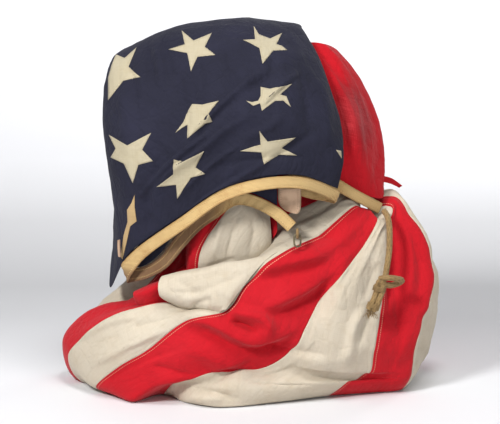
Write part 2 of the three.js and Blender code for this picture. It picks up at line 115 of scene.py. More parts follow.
# ---------------------------------------------------------------- guide curves, in millimetres
# The canton, a hood. Each guide rises from the heading, goes over the top and down the back; left first.
HOOD = [
    [[-226, 36, 202], [-225, 39, 210], [-224, 42, 217], [-223, 46, 222], [-222, 51, 226], [-222, 56, 227],
     [-221, 61, 225], [-220, 65, 221], [-219, 69, 216], [-218, 72, 211], [-217, 75, 206]],
    [[-226, 10, 192], [-224, 18, 222], [-222, 27, 250], [-221, 36, 272], [-220, 46, 285], [-219, 56, 288],
     [-218, 66, 284], [-216, 75, 272], [-214, 82, 256], [-213, 88, 240], [-212, 93, 224]],
    [[-225, -22, 186], [-221, -12, 230], [-219, 0, 285], [-221, 14, 335], [-222, 30, 368], [-220, 46, 380],
     [-216, 62, 374], [-213, 76, 352], [-211, 88, 324], [-209, 98, 290], [-207, 105, 254]],
    [[-222, -62, 166], [-214, -52, 230], [-212, -42, 300], [-219, -25, 380], [-224, -5, 440], [-220, 20, 478],
     [-214, 45, 490], [-209, 68, 474], [-206, 90, 434], [-205, 104, 372], [-204, 114, 292]],
    [[-196, -112, 222], [-207, -100, 285], [-219, -90, 348], [-229, -76, 412], [-231, -52, 468],
     [-224, -20, 514], [-216, 24, 528], [-211, 64, 508], [-209, 94, 458], [-209, 112, 394], [-209, 120, 320]],
    [[-168, -132, 252], [-178, -138, 302], [-187, -138, 360], [-193, -126, 425], [-194, -96, 486],
     [-187, -48, 534], [-181, 14, 550], [-178, 68, 528], [-178, 110, 474], [-178, 132, 404], [-178, 142, 330]],
    [[-107, -160, 299], [-112, -164, 346], [-117, -159, 406], [-121, -139, 466], [-124, -99, 524],
     [-126, -42, 565], [-127, 26, 573], [-127, 84, 547], [-127, 130, 488], [-127, 154, 415], [-127, 166, 338]],
    [[-45, -176, 344], [-48, -178, 386], [-50, -170, 440], [-53, -144, 497], [-55, -99, 548], [-57, -38, 582],
     [-58, 34, 585], [-58, 94, 556], [-58, 144, 495], [-58, 170, 420], [-58, 182, 344]],
    [[22, -180, 364], [18, -180, 406], [14, -170, 456], [10, -141, 510], [6, -95, 555], [2, -35, 586],
     [0, 36, 587], [0, 96, 556], [0, 146, 495], [0, 174, 420], [0, 186, 345]],
    [[82, -160, 362], [84, -158, 403], [82, -147, 453], [76, -119, 506], [68, -75, 550], [58, -22, 580],
     [55, 40, 581], [55, 96, 552], [55, 143, 494], [55, 169, 420], [55, 181, 346]],
    [[136, -120, 336], [145, -117, 378], [143, -106, 416], [131, -85, 470], [110, -50, 530], [84, -8, 574],
     [84, 46, 573], [86, 99, 545], [88, 142, 490], [90, 167, 420], [90, 178, 346]],
    [[120, -110, 344], [129, -107, 379], [127, -96, 414], [115, -75, 465], [97, -43, 523], [74, -6, 562],
     [72, 42, 562], [74, 91, 536], [76, 132, 485], [78, 157, 420], [78, 168, 348]],
]

# The layer that turns back inside the hood.
HOOD_LINING = [
    [[43, -145, 313], [42, -139, 350], [40, -128, 390], [36, -112, 425]],
    [[3, -141, 332], [2, -138, 365], [0, -130, 400], [-3, -115, 435]],
    [[-29, -145, 334], [-32, -142, 365], [-36, -133, 398], [-40, -118, 430]],
    [[-66, -144, 309], [-73, -141, 340], [-72, -133, 375], [-76, -118, 410]],
    [[-95, -141, 288], [-105, -137, 318], [-105, -130, 352], [-110, -115, 390]],
    [[-119, -135, 263], [-129, -129, 292], [-132, -120, 326], [-138, -105, 365]],
    [[-141, -125, 232], [-151, -117, 264], [-158, -107, 302], [-165, -92, 342]],
    [[-168, -110, 210], [-176, -102, 245], [-184, -92, 286], [-190, -76, 328]],
    [[-190, -94, 208], [-196, -84, 238], [-202, -72, 278], [-206, -60, 318]],
    [[-210, -66, 212], [-214, -54, 240], [-215, -44, 275], [-218, -36, 315]],
]

# The stripes, one fan. Each guide starts at the pinch, comes down the bundle and turns under it.
FAN = {
    "free 13": [[165, 62, 300], [206, 98, 300], [222, 126, 270], [223, 150, 226], [217, 166, 178],
                [209, 175, 130], [201, 179, 86], [195, 179, 54], [190, 177, 28], [184, 171, 8], [176, 162, 1],
                [140, 125, 1]],
    "seam 12-13": [[184, 20, 298], [229, 26, 303], [256, 38, 266], [276, 48, 218], [292, 54, 168],
                   [296, 56, 118], [291, 56, 78], [284, 54, 50], [276, 52, 26], [266, 50, 8], [254, 46, 1],
                   [190, 30, 1]],
    "ridge 12": [[188, 2, 302], [233, -2, 314], [262, -2, 274], [286, 0, 226], [302, 0, 174], [304, 0, 122],
                 [298, 0, 78], [289, 0, 50], [280, 0, 26], [269, 0, 8], [256, 0, 1], [200, 0, 1]],
    "seam 11-12": [[188, -8, 298], [234, -20, 306], [256, -44, 282], [276, -54, 238], [288, -68, 182],
                   [278, -92, 130], [260, -108, 84], [255, -98, 46], [256, -94, 26], [248, -84, 8],
                   [236, -74, 1], [178, -40, 1]],
    "ridge 11": [[189, -14, 292], [230, -34, 300], [238, -58, 268], [247, -72, 222], [248, -92, 172],
                 [243, -112, 122], [234, -122, 80], [224, -110, 44], [212, -116, 26], [202, -102, 8],
                 [190, -92, 1], [140, -50, 1]],
    "seam 10-11": [[190, -20, 285], [227, -44, 294], [224, -80, 262], [221, -100, 215], [213, -116, 172],
                   [204, -130, 125], [197, -137, 84], [186, -122, 42], [154, -136, 27], [132, -126, 9],
                   [120, -112, 1], [90, -60, 1]],
    "ridge 10": [[186, -34, 266], [219, -66, 282], [207, -91, 256], [192, -116, 210], [176, -136, 165],
                 [160, -150, 118], [142, -156, 78], [118, -146, 46], [82, -166, 32], [54, -162, 10],
                 [38, -150, 1], [32, -90, 1]],
    "lip 10": [[184, -40, 262], [212, -71, 278], [192, -101, 250], [165, -129, 208], [140, -151, 162],
               [118, -162, 118], [92, -164, 78], [62, -156, 52], [-10, -184, 40], [-44, -188, 12],
               [-56, -176, 1], [-46, -100, 1]],
    "seam 9-10": [[184, -45, 263], [203, -73, 279], [180, -106, 243], [142, -133, 200], [108, -151, 160],
                  [86, -163, 122], [69, -166, 90], [22, -163, 59], [-43, -173, 56], [-105, -164, 37],
                  [-136, -112, 3], [-112, -62, 1]],
    "ridge 9": [[183, -49, 274], [190, -64, 290], [148, -116, 254], [98, -147, 218], [52, -171, 172],
                [22, -182, 130], [-28, -184, 104], [-82, -180, 80], [-138, -168, 50], [-172, -164, 22],
                [-184, -150, 1], [-148, -88, 1]],
    "seam 8-9": [[178, -50, 280], [166, -81, 301], [112, -115, 264], [54, -148, 238], [-5, -170, 195],
                 [-37, -176, 152], [-100, -166, 134], [-160, -158, 86], [-206, -142, 55], [-244, -106, 14],
                 [-216, -86, 1], [-162, -58, 1]],
    "ridge 8": [[177, -46, 290], [157, -68, 311], [106, -92, 286], [42, -112, 255], [-26, -128, 186],
                [-62, -148, 150], [-122, -156, 147], [-186, -146, 114], [-236, -116, 76], [-274, -72, 28],
                [-242, -55, 1], [-180, -42, 1]],
    "seam 7-8": [[176, -46, 302], [148, -54, 319], [100, -66, 303], [30, -75, 265], [-50, -90, 183],
                 [-88, -122, 152], [-144, -138, 155], [-205, -119, 133], [-252, -87, 99], [-293, -45, 50],
                 [-270, -30, 1], [-192, -20, 1]],
    "ridge 7": [[172, -38, 308], [140, -36, 334], [80, -46, 328], [5, -58, 300], [-75, -76, 228],
                [-118, -98, 164], [-176, -98, 152], [-232, -66, 136], [-277, -40, 106], [-305, -14, 62],
                [-284, -4, 1], [-200, 0, 1]],
    "seam 6-7": [[168, -22, 318], [130, -18, 348], [60, -26, 350], [-20, -40, 330], [-95, -54, 268],
                 [-140, -56, 196], [-192, -46, 146], [-244, -22, 122], [-282, 6, 92], [-301, 20, 50],
                 [-276, 25, 1], [-196, 22, 1]],
    "ridge 6": [[166, 4, 330], [118, 10, 368], [52, 12, 375], [-20, 10, 360], [-92, 8, 310], [-143, 12, 246],
                [-184, 22, 168], [-228, 42, 112], [-262, 62, 84], [-280, 70, 46], [-258, 72, 1],
                [-186, 58, 1]],
    "seam 5-6": [[160, 30, 342], [105, 42, 385], [45, 52, 395], [-20, 62, 385], [-85, 72, 345],
                 [-138, 80, 284], [-170, 90, 200], [-200, 102, 126], [-224, 112, 84], [-236, 116, 44],
                 [-220, 112, 1], [-165, 90, 1]],
    "seam 4-5": [[154, 56, 350], [105, 82, 392], [55, 100, 400], [5, 118, 388], [-50, 134, 350],
                 [-90, 148, 298], [-118, 158, 236], [-138, 164, 172], [-150, 168, 115], [-154, 168, 52],
                 [-142, 160, 1], [-108, 125, 1]],
    "seam 3-4": [[156, 70, 350], [118, 100, 386], [80, 128, 386], [40, 152, 366], [5, 168, 328],
                 [-22, 180, 280], [-42, 188, 225], [-55, 193, 168], [-62, 195, 110], [-65, 194, 52],
                 [-60, 186, 1], [-48, 148, 1]],
    "seam 2-3": [[162, 76, 344], [140, 115, 366], [115, 146, 358], [90, 168, 332], [68, 182, 296],
                 [50, 190, 252], [38, 195, 205], [30, 198, 155], [25, 199, 105], [22, 198, 52], [20, 190, 1],
                 [15, 150, 1]],
    "seam 1-2": [[160, 78, 322], [160, 114, 326], [155, 146, 320], [145, 166, 292], [135, 178, 254],
                 [125, 185, 212], [118, 188, 168], [112, 190, 125], [108, 190, 80], [105, 188, 42],
                 [100, 182, 1], [85, 145, 1]],
    "free 1": [[158, 66, 286], [180, 88, 266], [198, 110, 240], [210, 128, 216], [211, 138, 172],
               [208, 144, 128], [204, 146, 88], [200, 146, 56], [196, 144, 32], [190, 140, 16], [180, 132, 10],
               [158, 108, 9]],
}
# The white roll that flops over the foot, and the red end that shows at its left.
ROLL = [
    [[-130, -126, 194], [-136, -138, 200], [-141, -150, 194], [-142, -157, 184], [-140, -155, 173],
     [-134, -143, 164]],
    [[-99, -130, 198], [-101, -144, 210], [-102, -160, 205], [-102, -172, 186], [-102, -170, 165],
     [-100, -146, 148]],
    [[-42, -140, 200], [-43, -150, 220], [-45, -164, 219], [-47, -181, 192], [-50, -185, 164],
     [-53, -172, 149]],
    [[4, -146, 222], [2, -154, 231], [-6, -166, 225], [-20, -180, 196], [-35, -187, 170], [-44, -185, 155]],
    [[46, -146, 242], [40, -154, 240], [20, -164, 225], [-8, -175, 194], [-27, -184, 170], [-36, -187, 158]],
]
RED_ROLL = [
    [[-168, -96, 168], [-176, -112, 172], [-182, -123, 171], [-182, -128, 165], [-178, -120, 152]],
    [[-150, -96, 180], [-157, -116, 182], [-163, -133, 178], [-164, -140, 170], [-158, -124, 144]],
    [[-122, -94, 190], [-128, -114, 193], [-134, -128, 190], [-137, -134, 180], [-130, -118, 148]],
    [[-94, -84, 210], [-100, -102, 212], [-108, -112, 204], [-112, -116, 190], [-106, -104, 152]],
    [[-82, -82, 214], [-86, -98, 215], [-92, -110, 206], [-96, -114, 192], [-94, -102, 158]],
]

# The puff inside the mouth of the hood: a red edge and the white stripe, then the red edge at its right.
PUFF = [
    [[-100, -102, 192], [-100, -108, 216], [-99, -112, 238], [-93, -116, 264], [-78, -120, 290],
     [-56, -116, 316]],
    [[-93, -116, 188], [-93, -122, 214], [-90, -127, 235], [-79, -131, 260], [-58, -132, 286],
     [-34, -124, 316]],
    [[-62, -120, 180], [-64, -130, 214], [-62, -135, 240], [-52, -138, 264], [-36, -138, 288],
     [-18, -126, 316]],
    [[-26, -124, 176], [-28, -133, 212], [-28, -137, 240], [-22, -140, 264], [-12, -138, 286],
     [0, -124, 312]],
    [[14, -108, 196], [16, -122, 222], [18, -128, 240], [20, -130, 258], [20, -128, 278], [20, -114, 302]],
    [[24, -98, 210], [28, -112, 228], [33, -118, 244], [34, -120, 258], [33, -118, 274], [31, -106, 296]],
]
DARK_EDGE = [
    [[22, -95, 249.5], [27, -106, 252.5], [30, -109, 259], [30, -107, 268], [29, -103, 278], [26, -94, 292]],
    [[31, -104, 256], [37, -111, 259], [42, -113, 266], [43, -111, 275], [41, -105, 285], [34, -92, 299]],
    [[16, -64, 272], [18, -62, 280], [20, -60, 288], [20, -58, 296], [18, -56, 304], [14, -54, 312]],
]

# Stripe 13 rises behind the fold of the canton and goes over to the back.
RED_HOOD = [
    [[117, -94, 346], [122, -93, 388], [119, -84, 420], [108, -64, 464], [92, -40, 506], [72, -16, 538],
     [54, 0, 550]],
    [[170, -75, 322], [176, -76, 366], [174, -72, 412], [161, -58, 460], [138, -38, 506], [106, -14, 542],
     [72, 4, 550]],
    [[211, -42, 307], [210, -30, 350], [204, -12, 405], [191, 0, 450], [165, 6, 504], [126, 8, 548],
     [88, 12, 550]],
    [[214, 0, 326], [213, 25, 356], [206, 45, 400], [191, 58, 442], [167, 66, 488], [134, 70, 525],
     [100, 66, 532]],
    [[208, 60, 296], [203, 84, 345], [196, 102, 390], [183, 115, 428], [156, 122, 465], [128, 120, 494],
     [104, 108, 508]],
    [[182, 106, 312], [174, 126, 352], [161, 140, 392], [145, 148, 422], [126, 150, 450], [109, 142, 475],
     [98, 127, 488]],
    [[128, 150, 392], [122, 154, 406], [113, 154, 420], [104, 151, 434], [97, 144, 449], [92, 134, 464],
     [90, 122, 478]],
]
# Its loose corner, by the rope.
RED_TIP = [
    [[208, -26, 342], [229, -8, 334], [247, 4, 320]],
    [[208, -26, 332], [227, -8, 325], [242, 4, 316.5]],
]

# The canvas heading: points on its two edges, from the ring end, round both folds, to the rope end.
HEADING = [
    [[72, -154, 288], [59, -154, 274]], [[45, -148, 311], [33, -148, 296]], [[3, -142, 330], [1, -144, 311]],
    [[-29, -146, 332], [-23, -148, 313]], [[-64, -145, 307], [-49, -148, 295]],
    [[-93, -142, 286], [-76, -146, 275]], [[-117, -136, 260], [-100, -140, 248]],
    [[-139, -126, 229], [-129, -130, 212]], [[-166, -112, 210], [-160, -117, 192]],
    [[-188, -100, 206], [-183, -108, 185]], [[-201, -103, 208], [-191, -116, 186]],
    [[-197, -115, 220], [-180, -121, 206]], [[-168, -134, 250], [-157, -137, 234]],
    [[-107, -162, 297], [-98, -166, 281]], [[-45, -178, 342], [-40, -182, 325]],
    [[22, -182, 362], [22, -185, 344]], [[82, -162, 360], [80, -165, 342]],
    [[130, -124, 338], [124, -128, 321]], [[141, -111, 328], [133, -113, 311]],
    [[126, -101, 330], [118, -104, 313]], [[98, -116, 337], [94, -121, 320]],
    [[70, -128, 347], [68, -133, 330]], [[50, -126, 354], [50, -130, 337]], [[62, -112, 356], [60, -114, 339]],
    [[92, -103, 358], [88, -104, 341]], [[118, -100, 357], [112, -101, 340]],
    [[142, -94, 345], [136, -95, 328]], [[168, -84, 328], [162, -86, 312]], [[212, -49, 300], [205, -52, 284]],
]

TAB = [
    [[44, -134, 338], [44, -136, 324], [47, -137, 312], [56, -138, 304]],
    [[62, -136, 338], [61, -138, 322], [61, -140, 308], [64, -141, 301]],
    [[80, -134, 338], [80, -137, 322], [79, -140, 306], [74, -142, 299]],
]
SMALL_TAB = [
    [[-207, -112, 252], [-207, -112, 238], [-206, -112, 226]],
    [[-203, -116, 254], [-203, -117, 240], [-202, -118, 226]],
]

ROPE_ROUTE = [[213, -64, 291], [218, -80, 284], [220, -96, 271], [220, -106, 253], [219, -114, 234],
              [216, -122, 216], [213, -130, 200]]
HITCH_ROUTES = [
    [[202, -139, 196], [214, -146, 199], [228, -143, 197], [238, -132, 192], [234, -124, 186],
     [222, -136, 185], [208, -143, 188], [198, -147, 194]],
    [[199, -146, 190], [198, -150, 180], [194, -153, 168], [189, -156, 158], [184, -158, 150]],
    [[208, -146, 188], [206, -151, 178], [202, -154, 166], [197, -156, 155], [191, -157, 147]],
    [[213, -131, 203], [211, -138, 197], [206, -144, 190], [200, -148, 182]],
]
EYE_AT = (74, -157, 271)
EYE_SIZE = (15, 17, 4.4)    # outer width, outer height, thickness of the cord
RING_AT = (74, -157, 260)
RING_SIZE = (13, 22, 3.0)   # outer width, outer height, thickness of the wire

# ---------------------------------------------------------------- creases, set out on the board
# The board faces the eye and goes through VIEW_TARGET: millimetres to the right of its middle, and up from its
# base. Each crease is its kind, its depth, its half width (all in millimetres) and the line that it follows.
# A positive depth is a ridge and a negative one a trough; a lap is a ridge that is steep on one side.
HOOD_CREASES = [
    ("lap", 7.5, 7, [(36, 542), (-11, 510), (-56, 469), (-98, 430)]),
    ("lap", 9.5, 9, [(14, 470), (-38, 440), (-80, 405), (-128, 370), (-168, 326)]),
    ("lap", 8.0, 7, [(-52, 446), (-104, 405), (-144, 370), (-186, 322)]),
    ("soft", -6.0, 7, [(-16, 495), (-61, 453), (-102, 406)]),
    ("soft", -7.0, 6, [(-167, 585), (-160, 549), (-154, 498)]),
    ("soft", -6.0, 5, [(-141, 590), (-131, 549), (-124, 506)]),
    ("soft", 5.0, 6, [(-153, 586), (-146, 549), (-140, 500)]),
    ("soft", -6.0, 7, [(-118, 544), (-110, 498), (-100, 450), (-112, 410)]),
    ("soft", -5.5, 6, [(-175, 356), (-166, 317), (-158, 270)]),
    ("soft", 5.0, 11, [(105, 540), (121, 469), (128, 396)]),
    ("soft", -5.0, 10, [(76, 556), (91, 485), (100, 415)]),
    ("soft", -4.5, 7, [(-40, 576), (-29, 525), (-20, 488)]),
    ("lap", 5.5, 6, [(14, 470), (45, 501), (86, 535)]),
    ("soft", -4.0, 9, [(-84, 371), (0, 389), (100, 394)]),
    ("soft", 4.0, 10, [(-214, 506), (-196, 450), (-206, 396)]),
    ("lap", 6.0, 6, [(-6, 420), (-50, 392), (-96, 352), (-124, 318)]),
    ("soft", -4.0, 6, [(40, 560), (30, 520), (-4, 500)]),
    ("soft", 4.0, 7, [(60, 470), (30, 440), (-20, 420)]),
    ("soft", -5.0, 6, [(-160, 440), (-146, 396), (-160, 340), (-176, 296)]),
    ("lap", 5.0, 7, [(60, 412), (0, 372), (-70, 330), (-120, 284)]),
    ("soft", -4.5, 6, [(110, 440), (60, 404), (20, 386)]),
    ("soft", -5.0, 6, [(-196, 560), (-186, 510), (-176, 470)]),
    ("soft", 4.0, 8, [(-84, 560), (-78, 500), (-66, 480)]),
]
FAN_CREASES = [
    ("lap", 11.0, 22, [(-8, 204), (56, 222), (136, 240)]),
    ("soft", -6.0, 9, [(2, 192), (56, 206), (130, 222)]),
    ("lap", 11.0, 20, [(10, 146), (83, 178), (138, 214)]),
    ("soft", -6.0, 9, [(20, 132), (88, 162), (136, 194)]),
    ("soft", 12.0, 9, [(-42, 150), (-8, 143), (19, 136), (29, 121), (16, 102)]),
    ("soft", -15.0, 7, [(-34, 132), (-6, 124), (14, 112)]),
    ("lap", 13.0, 22, [(-120, 126), (-77, 130), (-50, 121), (-22, 106), (5, 99), (34, 103), (88, 126)]),
    ("soft", -9.0, 9, [(-112, 113), (-77, 114), (-50, 104), (-22, 89), (5, 84), (34, 88), (84, 108)]),
    ("soft", 6.0, 12, [(-118, 86), (-70, 78), (-30, 62), (20, 58)]),
    ("soft", -6.0, 8, [(-170, 62), (-120, 52), (-80, 44)]),
    ("lap", 8.0, 20, [(-176, 28), (-110, 40), (-69, 46), (-43, 62), (0, 74), (30, 66)]),
    ("soft", -8.0, 8, [(-160, 16), (-110, 28), (-66, 34), (-40, 48), (4, 60)]),
    ("lap", 8.0, 16, [(60, 62), (104, 58), (155, 53), (190, 53), (262, 48)]),
    ("soft", -8.0, 7, [(60, 48), (104, 45), (155, 40), (190, 40), (258, 36)]),
    ("soft", -5.0, 9, [(-20, 40), (50, 30), (120, 28)]),
    ("soft", 8.0, 8, [(200, 150), (176, 140), (163, 114), (157, 82), (134, 56)]),
    ("soft", -9.0, 8, [(206, 164), (184, 128), (176, 84)]),
    ("soft", -6.0, 10, [(206, 230), (190, 184), (182, 156)]),
    ("soft", -6.0, 9, [(10, 92), (70, 84), (136, 74)]),
    ("soft", -5.0, 12, [(120, 214), (110, 170), (116, 130)]),
    ("soft", 6.0, 12, [(160, 250), (140, 190), (146, 140)]),
    ("soft", -16.0, 10, [(221, 330), (231, 261), (232, 205), (220, 130)]),
    ("soft", 7.0, 9, [(246, 290), (258, 230), (256, 160)]),
    ("soft", -8.0, 7, [(279, 156), (279, 110), (274, 66)]),
    ("soft", 6.0, 12, [(258, 306), (284, 236), (293, 160)]),
    ("soft", -6.0, 9, [(244, 220), (238, 150), (242, 90)]),
    ("soft", -5.0, 9, [(282, 250), (296, 200), (300, 140)]),
    ("lap", 6.0, 14, [(-282, 96), (-226, 126), (-170, 140)]),
    ("lap", 6.0, 16, [(-262, 52), (-190, 92), (-120, 122)]),
    ("soft", -5.0, 9, [(-246, 30), (-160, 70), (-96, 92)]),
    ("soft", -4.0, 7, [(-200, 120), (-150, 130), (-110, 142)]),
    ("soft", -9.0, 6, [(-108, 22), (-60, 18), (-12, 2)]),
    ("soft", 6.0, 8, [(-136, 10), (-80, 8), (-30, 10)]),
    ("soft", -5.0, 10, [(60, 262), (110, 270), (150, 262)]),
]
ROLL_CREASES = [
    ("soft", -5.0, 6, [(-140, 182), (-95, 176), (-40, 194), (10, 216)]),
    ("soft", -7.0, 6, [(-96, 150), (-80, 160), (-58, 168)]),
    ("soft", 4.0, 6, [(-138, 202), (-80, 206), (-10, 232)]),
    ("soft", -3.0, 5, [(-120, 196), (-100, 186), (-78, 170)]),
    ("soft", 3.0, 6, [(-60, 186), (-40, 176), (-24, 162)]),
]
PUFF_CREASES = [
    ("soft", -6.0, 6, [(-56, 304), (-74, 261), (-82, 218)]),
    ("soft", -5.0, 6, [(-16, 310), (-29, 267), (-38, 226)]),
    ("soft", 4.0, 6, [(-40, 304), (-52, 262), (-62, 224)]),
    ("soft", -4.0, 5, [(4, 302), (6, 267), (-5, 236)]),
    ("soft", -5.0, 6, [(-78, 214), (-50, 222), (-16, 234)]),
]

# ---------------------------------------------------------------- stars, set out on the same board
FRONT_STARS = [
    [(-109, 595), (-90, 579), (-61, 591), (-72, 569), (-55, 556), (-84, 553), (-94, 530), (-100, 559),
     (-130, 565), (-104, 573)],
    [(6, 602), (14, 589), (32, 582), (51, 591), (42, 573), (50, 571), (59, 564), (37, 563), (20, 542),
     (15, 567), (0, 575), (-11, 580), (8, 581)],
    [(17, 505), (32, 502), (67, 510), (48, 493), (58, 490), (65, 473), (53, 483), (40, 483), (19, 467),
     (16, 479), (5, 475), (-6, 483), (3, 481), (13, 483), (17, 491)],
    [(15, 435), (28, 418), (73, 425), (50, 408), (75, 396), (46, 397), (22, 382), (18, 401), (-16, 403),
     (8, 411), (17, 413)],
    [(-92, 478), (-76, 477), (-50, 483), (-66, 462), (-60, 450), (-72, 447), (-100, 423), (-100, 445),
     (-110, 439), (-119, 432), (-106, 450), (-102, 461)],
    [(-225, 429), (-196, 412), (-158, 432), (-172, 405), (-155, 387), (-178, 381), (-187, 352), (-201, 383),
     (-222, 393), (-214, 407)],
    [(-122, 390), (-108, 386), (-74, 403), (-87, 377), (-72, 367), (-94, 360), (-116, 327), (-118, 349),
     (-149, 346), (-123, 366)],
    [(-214, 557), (-200, 551), (-181, 568), (-194, 537), (-175, 521), (-202, 515), (-226, 484), (-226, 520),
     (-221, 539)],
]
FOLD_STAR = [(-184, 333), (-184, 314), (-181, 291), (-191, 283), (-197, 256), (-203, 230), (-206, 235),
             (-201, 269), (-195, 290), (-196, 309), (-189, 320)]
EDGE_TIPS = [[(137, 405), (145, 403), (146, 391)], [(-190, 198), (-179, 194), (-188, 185)]]
# Stars round the rest of the hood: the side that they are seen from, and their middle, across and up.
OTHER_STARS = [
    ("back", 40, 486), ("back", -62, 512), ("back", -145, 470), ("back", 15, 405), ("back", -92, 400),
    ("left", 40, 420), ("left", 60, 330), ("top", -4, 78), ("top", -116, 70),
]


# ---------------------------------------------------------------- curves and sheets
def catmull(t, count):
    """The four guide numbers round each place t, and their weights."""
    first = np.clip(np.floor(t).astype(int), 0, count - 2)
    f = t - first
    numbers = [np.clip(first + k, 0, count - 1) for k in (-1, 0, 1, 2)]
    weights = [0.5 * (-f + 2 * f ** 2 - f ** 3), 0.5 * (2 - 5 * f ** 2 + 3 * f ** 3),
               0.5 * (f + 4 * f ** 2 - 3 * f ** 3), 0.5 * (-f ** 2 + f ** 3)]
    return numbers, weights


def surface(guides, s, v):
    """Points in metres on the smooth surface through the guides; s runs along them, v from one to the next."""
    guides = (np.array(guides, float) - MIDDLE) * MILLI
    along, along_weight = catmull(s, guides.shape[1])
    across, across_weight = catmull(v, guides.shape[0])
    return sum(across_weight[i][..., None] * along_weight[j][..., None] * guides[across[i], along[j]]
               for i in range(4) for j in range(4))


def curve_through(points, count):
    """count points, evenly spaced, on the smooth curve through the given ones."""
    fine = np.linspace(0, len(points) - 1, 40 * len(points))
    numbers, weights = catmull(fine, len(points))
    line = sum(w[:, None] * np.array(points, float)[n] for n, w in zip(numbers, weights))
    gone = np.concatenate([[0], np.cumsum(np.linalg.norm(np.diff(line, axis=0), axis=1))])
    even = np.linspace(0, gone[-1], count)
    return np.stack([np.interp(even, gone, line[:, k]) for k in range(3)], axis=1)


def smoothstep(low, high, x):
    """0 at low, 1 at high, smooth between."""
    t = np.clip((x - low) / (high - low), 0, 1)
    return t * t * (3 - 2 * t)


def view_axes():
    """Where the view comes from, its direction and its upward direction."""
    ahead = np.array([0, math.cos(VIEW_ELEVATION), -math.sin(VIEW_ELEVATION)])
    up = np.array([0, math.sin(VIEW_ELEVATION), math.cos(VIEW_ELEVATION)])
    return np.array(VIEW_TARGET) - ahead * VIEW_RANGE, ahead, up


def on_board(points):
    """Where points in the row frame stand on the setting-out board, in millimetres across and up."""
    eye, ahead, up = view_axes()
    away = points - eye
    depth = away @ ahead
    return away[..., 0] * VIEW_RANGE / depth / MILLI, (away @ up * VIEW_RANGE / depth + BOARD_BASE) / MILLI


def from_board(across, up_board):
    """The ray from the eye through a place on the board."""
    eye, ahead, up = view_axes()
    through = np.array(VIEW_TARGET) + np.array([across * MILLI, 0, 0]) + up * (up_board * MILLI - BOARD_BASE)
    return eye, (through - eye) / np.linalg.norm(through - eye)


def crease_depths(points, normals, creases):
    """How far the creases of the board move each point along its normal, in metres."""
    across, up = on_board(points)
    facing = smoothstep(0.02, 0.35, -(normals @ view_axes()[1]))
    moved = np.zeros(points.shape[:-1])
    for kind, depth, width, line in creases:
        smooth = curve_through([(x, y, 0) for x, y in line], 6 * len(line))[:, :2]
        nearest = np.full(moved.shape, 1e9)
        side = np.ones(moved.shape)
        gone = np.zeros(moved.shape)
        for k in range(len(smooth) - 1):
            start, run = smooth[k], smooth[k + 1] - smooth[k]
            t = np.clip(((across - start[0]) * run[0] + (up - start[1]) * run[1]) / (run @ run), 0, 1)
            dx, dy = across - start[0] - t * run[0], up - start[1] - t * run[1]
            distance = np.hypot(dx, dy)
            closer = distance < nearest
            nearest = np.where(closer, distance, nearest)
            side = np.where(closer, np.sign(run[0] * dy - run[1] * dx), side)
            gone = np.where(closer, (k + t) / (len(smooth) - 1), gone)
        fade = smoothstep(0, 0.3, gone) * smoothstep(0, 0.3, 1 - gone)
        reach = width * np.where(side > 0, 1.0, LAP_STEEP) if kind == "lap" else width
        ridge = np.exp(-(nearest / reach) ** 2)
        valley = np.exp((VALLEY_ROUND - np.hypot(nearest, VALLEY_ROUND)) / (0.8 * reach))
        moved += depth * MILLI * fade * (ridge if depth > 0 else valley)
    return moved * facing


def waves(seed, count, low, high):
    """Seeded waves: a frequency, a slant, a phase and a weight for each."""
    rng = random.Random(seed)
    return [(rng.uniform(low, high), rng.uniform(-0.35, 0.35), rng.uniform(0, 2 * math.pi),
             rng.uniform(0.5, 1.0)) for _ in range(count)]


def gathered(turn):
    """The profile of gathered cloth over one turn: a narrow crest and a wide hollow."""
    return 1.3 - 2.2 * np.abs(np.sin(turn / 2)) ** 1.3


def sorted_grid(mesh, across, along):
    """A flat grid, and its points row by row."""
    made = bmesh.ops.create_grid(mesh, x_segments=across, y_segments=along, size=0.5)["verts"]
    made.sort(key=lambda p: (round(p.co.y, 6), round(p.co.x, 6)))
    return made


